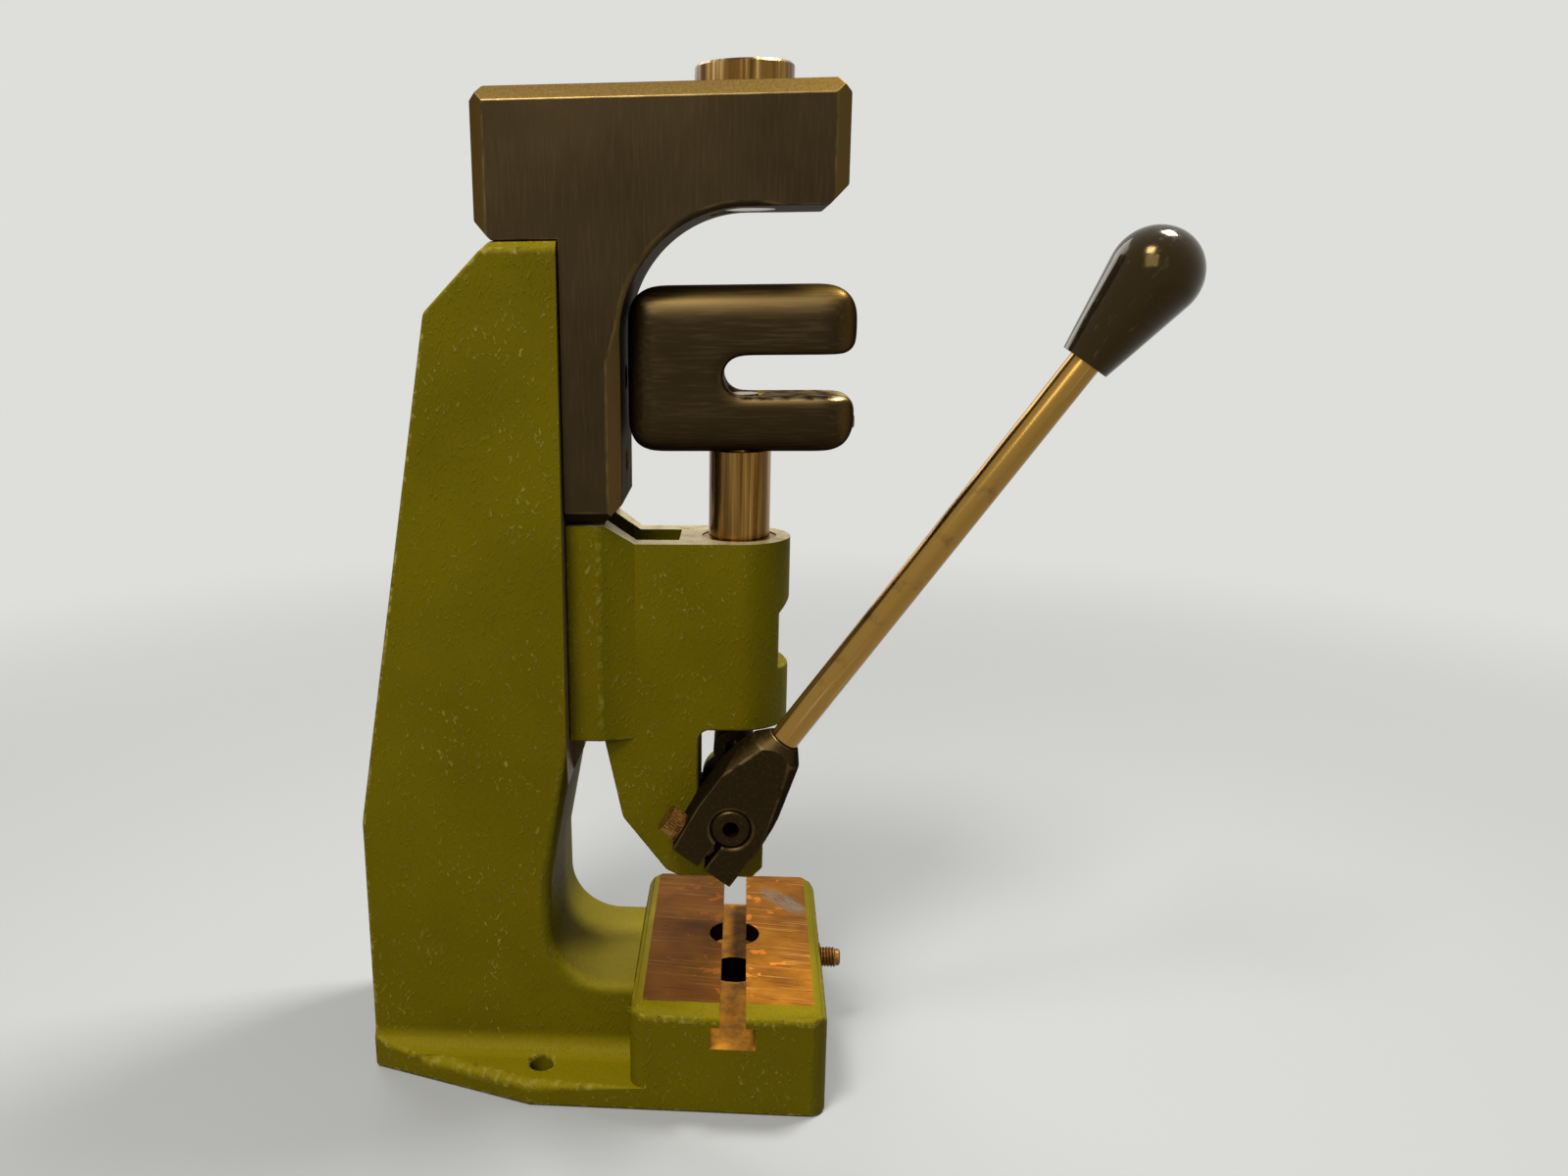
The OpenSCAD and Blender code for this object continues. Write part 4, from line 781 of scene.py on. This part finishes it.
class PRESS_OT_clamp_screw(bpy.types.Operator):
    """Cap screw that clamps the lever's hub, with its knurled head"""

    bl_idname = "press.clamp_screw"
    bl_label = "Lever clamp screw"

    def execute(self, context):
        s = sizes()
        bm = cad_copy("lever_clamp_screw")
        axis = Vector((-math.cos(ROD_TILT), 0, math.sin(ROD_TILT)))
        middle = sum((vert.co for vert in bm.verts), Vector()) / len(bm.verts)
        out = {vert: (vert.co - middle) - axis * (vert.co - middle).dot(axis) for vert in bm.verts}
        rim = max(way.length for way in out.values())
        outer = [vert for vert, way in out.items() if way.length > rim - NEAR]
        steps = [(vert.co - middle).dot(axis) for vert in outer]
        for vert in outer:
            vert.co -= out[vert].normalized() * s.knurl_depth
        # A band of teeth round the head, a little shorter than its straight part
        low, high = min(steps) + s.knurl_depth, max(steps)
        band = bmesh.ops.create_cone(bm, cap_ends=True, segments=2 * s.knurl_count, radius1=rim, radius2=rim,
                                     depth=high - low)["verts"]
        for vert in band:
            tooth = round(math.atan2(vert.co.y, vert.co.x) / math.tau * 2 * s.knurl_count)
            if tooth % 2:
                vert.co.xy *= 1 - s.knurl_depth / rim
        turn = axis.to_track_quat("Z", "Y").to_matrix().to_4x4()
        place = Matrix.Translation(middle + axis * (low + high) / 2) @ turn
        bmesh.ops.transform(bm, matrix=place, verts=band)
        finish_piece(bm, "clamp_screw_knurled", ("rusty_screw_steel",), "lever",
                     "lever_clamp_screw", crease=25)
        return {"FINISHED"}


class PRESS_OT_turned_parts(bpy.types.Operator):
    """Ram, shaft, pins, bushes, small screws, rod and grip with smooth round faces"""

    bl_idname = "press.turned_parts"
    bl_label = "Turned parts"

    def execute(self, context):
        record = frame["record"]
        bodies = {node: body for body, nodes in record["behaviour"]["bodies"].items() for node in nodes}
        looks = {
            "bright_ground_steel": ("upper_anvil", "ram", "wrist_pin", "crank_pin", "thrust_washers",
                                    "fork_set_screw", "crank_key"),
            "bright_drawn_steel": ("lever_rod",),
            "black_oxide_plain": ("shaft", "crank", "link", "bracket_screws", "gib_screws", "retaining_ring",
                                  "gib"),
            "rusty_screw_steel": ("lever_clamp_washer",),
            "turned_bronze": ("ram_bush", "shaft_bushes"),
            "moulded_black_phenolic": ("lever_grip",),
        }
        for look, nodes in looks.items():
            for node in nodes:
                finish_piece(cad_copy(node), node + "_turned", (look,), bodies[node], node,
                             crease=32)
        return {"FINISHED"}


# Stage


def seen(tree):
    """1 for the rays that show the pale backdrop: those of the camera, of reflections and through glass."""
    path = add(tree, "LightPath", out="Is Camera Ray").node
    rays = add(tree, "Math", {0: path.outputs["Is Camera Ray"], 1: path.outputs["Is Glossy Ray"]},
               operation="MAXIMUM")
    return add(tree, "Math", {0: rays, 1: path.outputs["Is Transmission Ray"]}, operation="MAXIMUM")


def pale_floor(pale):
    """Floor that takes the shadow near the press and runs out into the pale backdrop."""
    tree, place = new_finish("pale_floor")
    rays = seen(tree)
    away = add(tree, "VectorMath", {0: place}, out="Value", operation="LENGTH")
    away = add(tree, "MapRange", {"Value": away, "From Min": 0.45, "From Max": 1.3},
               interpolation_type="SMOOTHSTEP")
    share = add(tree, "Math", {0: away, 1: rays}, operation="MULTIPLY")
    card = add(tree, "BsdfPrincipled", {"Base Color": linear("#9c9c9a"), "Roughness": 0.8})
    glow = add(tree, "Emission", {"Color": pale})
    mixed = add(tree, "MixShader", {0: share, 1: card, 2: glow})
    add(tree, "OutputMaterial", {"Surface": mixed})
    bm = bmesh.new()
    bmesh.ops.create_grid(bm, x_segments=1, y_segments=1, size=8)
    mesh = bpy.data.meshes.new("floor")
    bm.to_mesh(mesh)
    bm.free()
    mesh.materials.append(bpy.data.materials["pale_floor"])
    floor = bpy.data.objects.new("floor", mesh)
    bpy.context.scene.collection.objects.link(floor)


def pale_world(pale):
    """Studio that looks as pale as the floor and lights the press softly."""
    world = bpy.data.worlds.new("studio")
    world.use_nodes = True
    tree = world.node_tree
    tree.nodes.clear()
    strength = add(tree, "MapRange", {"Value": seen(tree), "To Min": 0.24, "To Max": 1.0})
    sky = add(tree, "Background", {"Color": pale, "Strength": strength})
    add(tree, "OutputWorld", {"Surface": sky})
    bpy.context.scene.world = world


def soft_lamps():
    """Square lamps that face the press."""
    for name, spot, width, power in LAMPS:
        lamp = bpy.data.lights.new(name, "AREA")
        lamp.size = width
        lamp.energy = power
        holder = bpy.data.objects.new(name, lamp)
        bpy.context.scene.collection.objects.link(holder)
        holder.location = spot
        holder.rotation_euler = (LAMP_AIM - Vector(spot)).to_track_quat("-Z", "Y").to_euler()


def photo_camera():
    """Camera at the place from which the photograph was taken."""
    yaw, pitch, roll = (math.radians(angle) for angle in CAMERA_TURN)
    forward = Vector((math.sin(yaw) * math.cos(pitch), math.cos(yaw) * math.cos(pitch), -math.sin(pitch)))
    level = Vector((math.cos(yaw), -math.sin(yaw), 0))
    upright = level.cross(forward)
    across = math.cos(roll) * level + math.sin(roll) * upright
    upward = -math.sin(roll) * level + math.cos(roll) * upright
    width, height = PICTURE
    camera = bpy.data.cameras.new("camera")
    camera.sensor_width = SENSOR
    camera.lens = CAMERA_FOCUS / width * SENSOR
    camera.shift_x = (width / 2 - CAMERA_MIDDLE[0]) / width
    camera.shift_y = (CAMERA_MIDDLE[1] - height / 2) / width
    camera.clip_start = 0.01
    holder = bpy.data.objects.new("camera", camera)
    bpy.context.scene.collection.objects.link(holder)
    turn = Matrix((across, upward, -forward)).transposed().to_4x4()
    holder.matrix_world = Matrix.Translation(CAMERA_PLACE) @ turn
    bpy.context.scene.camera = holder


class PRESS_OT_stage(bpy.types.Operator):
    """Pale floor, soft lamps and the camera at the photograph's place"""

    bl_idname = "press.stage"
    bl_label = "Stage"

    def execute(self, context):
        pale = tuple(colours().backdrop)
        pale_floor(pale)
        pale_world(pale)
        soft_lamps()
        photo_camera()
        bpy.context.scene.view_settings.view_transform = "Standard"
        return {"FINISHED"}


class PRESS_PT_panel(bpy.types.Panel):
    """Makes the press piece by piece"""

    bl_idname = "PRESS_PT_panel"
    bl_label = "Toggle press"
    bl_space_type = "VIEW_3D"
    bl_region_type = "UI"
    bl_category = "Press"

    def draw(self, context):
        for maker in MAKERS:
            self.layout.operator(maker.bl_idname)
        for group in (colours(), sizes()):
            for name in group.__annotations__:
                self.layout.prop(group, name)


MAKERS = (PRESS_OT_stage, PRESS_OT_frame, PRESS_OT_head, PRESS_OT_fork, PRESS_OT_bracket, PRESS_OT_lever_hub,
          PRESS_OT_die_screw, PRESS_OT_clamp_screw, PRESS_OT_turned_parts)
CLASSES = (PressColours, PressSizes, *MAKERS, PRESS_PT_panel)


def register():
    """Registers the classes, and keeps the press's colours and sizes on the scene."""
    for each in CLASSES:
        bpy.utils.register_class(each)
    bpy.types.Scene.press_colours = bpy.props.PointerProperty(type=PressColours)
    bpy.types.Scene.press_sizes = bpy.props.PointerProperty(type=PressSizes)


def unregister():
    """Takes away what register made."""
    del bpy.types.Scene.press_sizes
    del bpy.types.Scene.press_colours
    for each in reversed(CLASSES):
        bpy.utils.unregister_class(each)


def main():
    register()
    bpy.ops.press.stage()
    bpy.ops.press.frame()
    bpy.ops.press.head()
    bpy.ops.press.fork()
    bpy.ops.press.bracket()
    bpy.ops.press.lever_hub()
    bpy.ops.press.die_screw()
    bpy.ops.press.clamp_screw()
    bpy.ops.press.turned_parts()


if __name__ == "__main__":
    main()
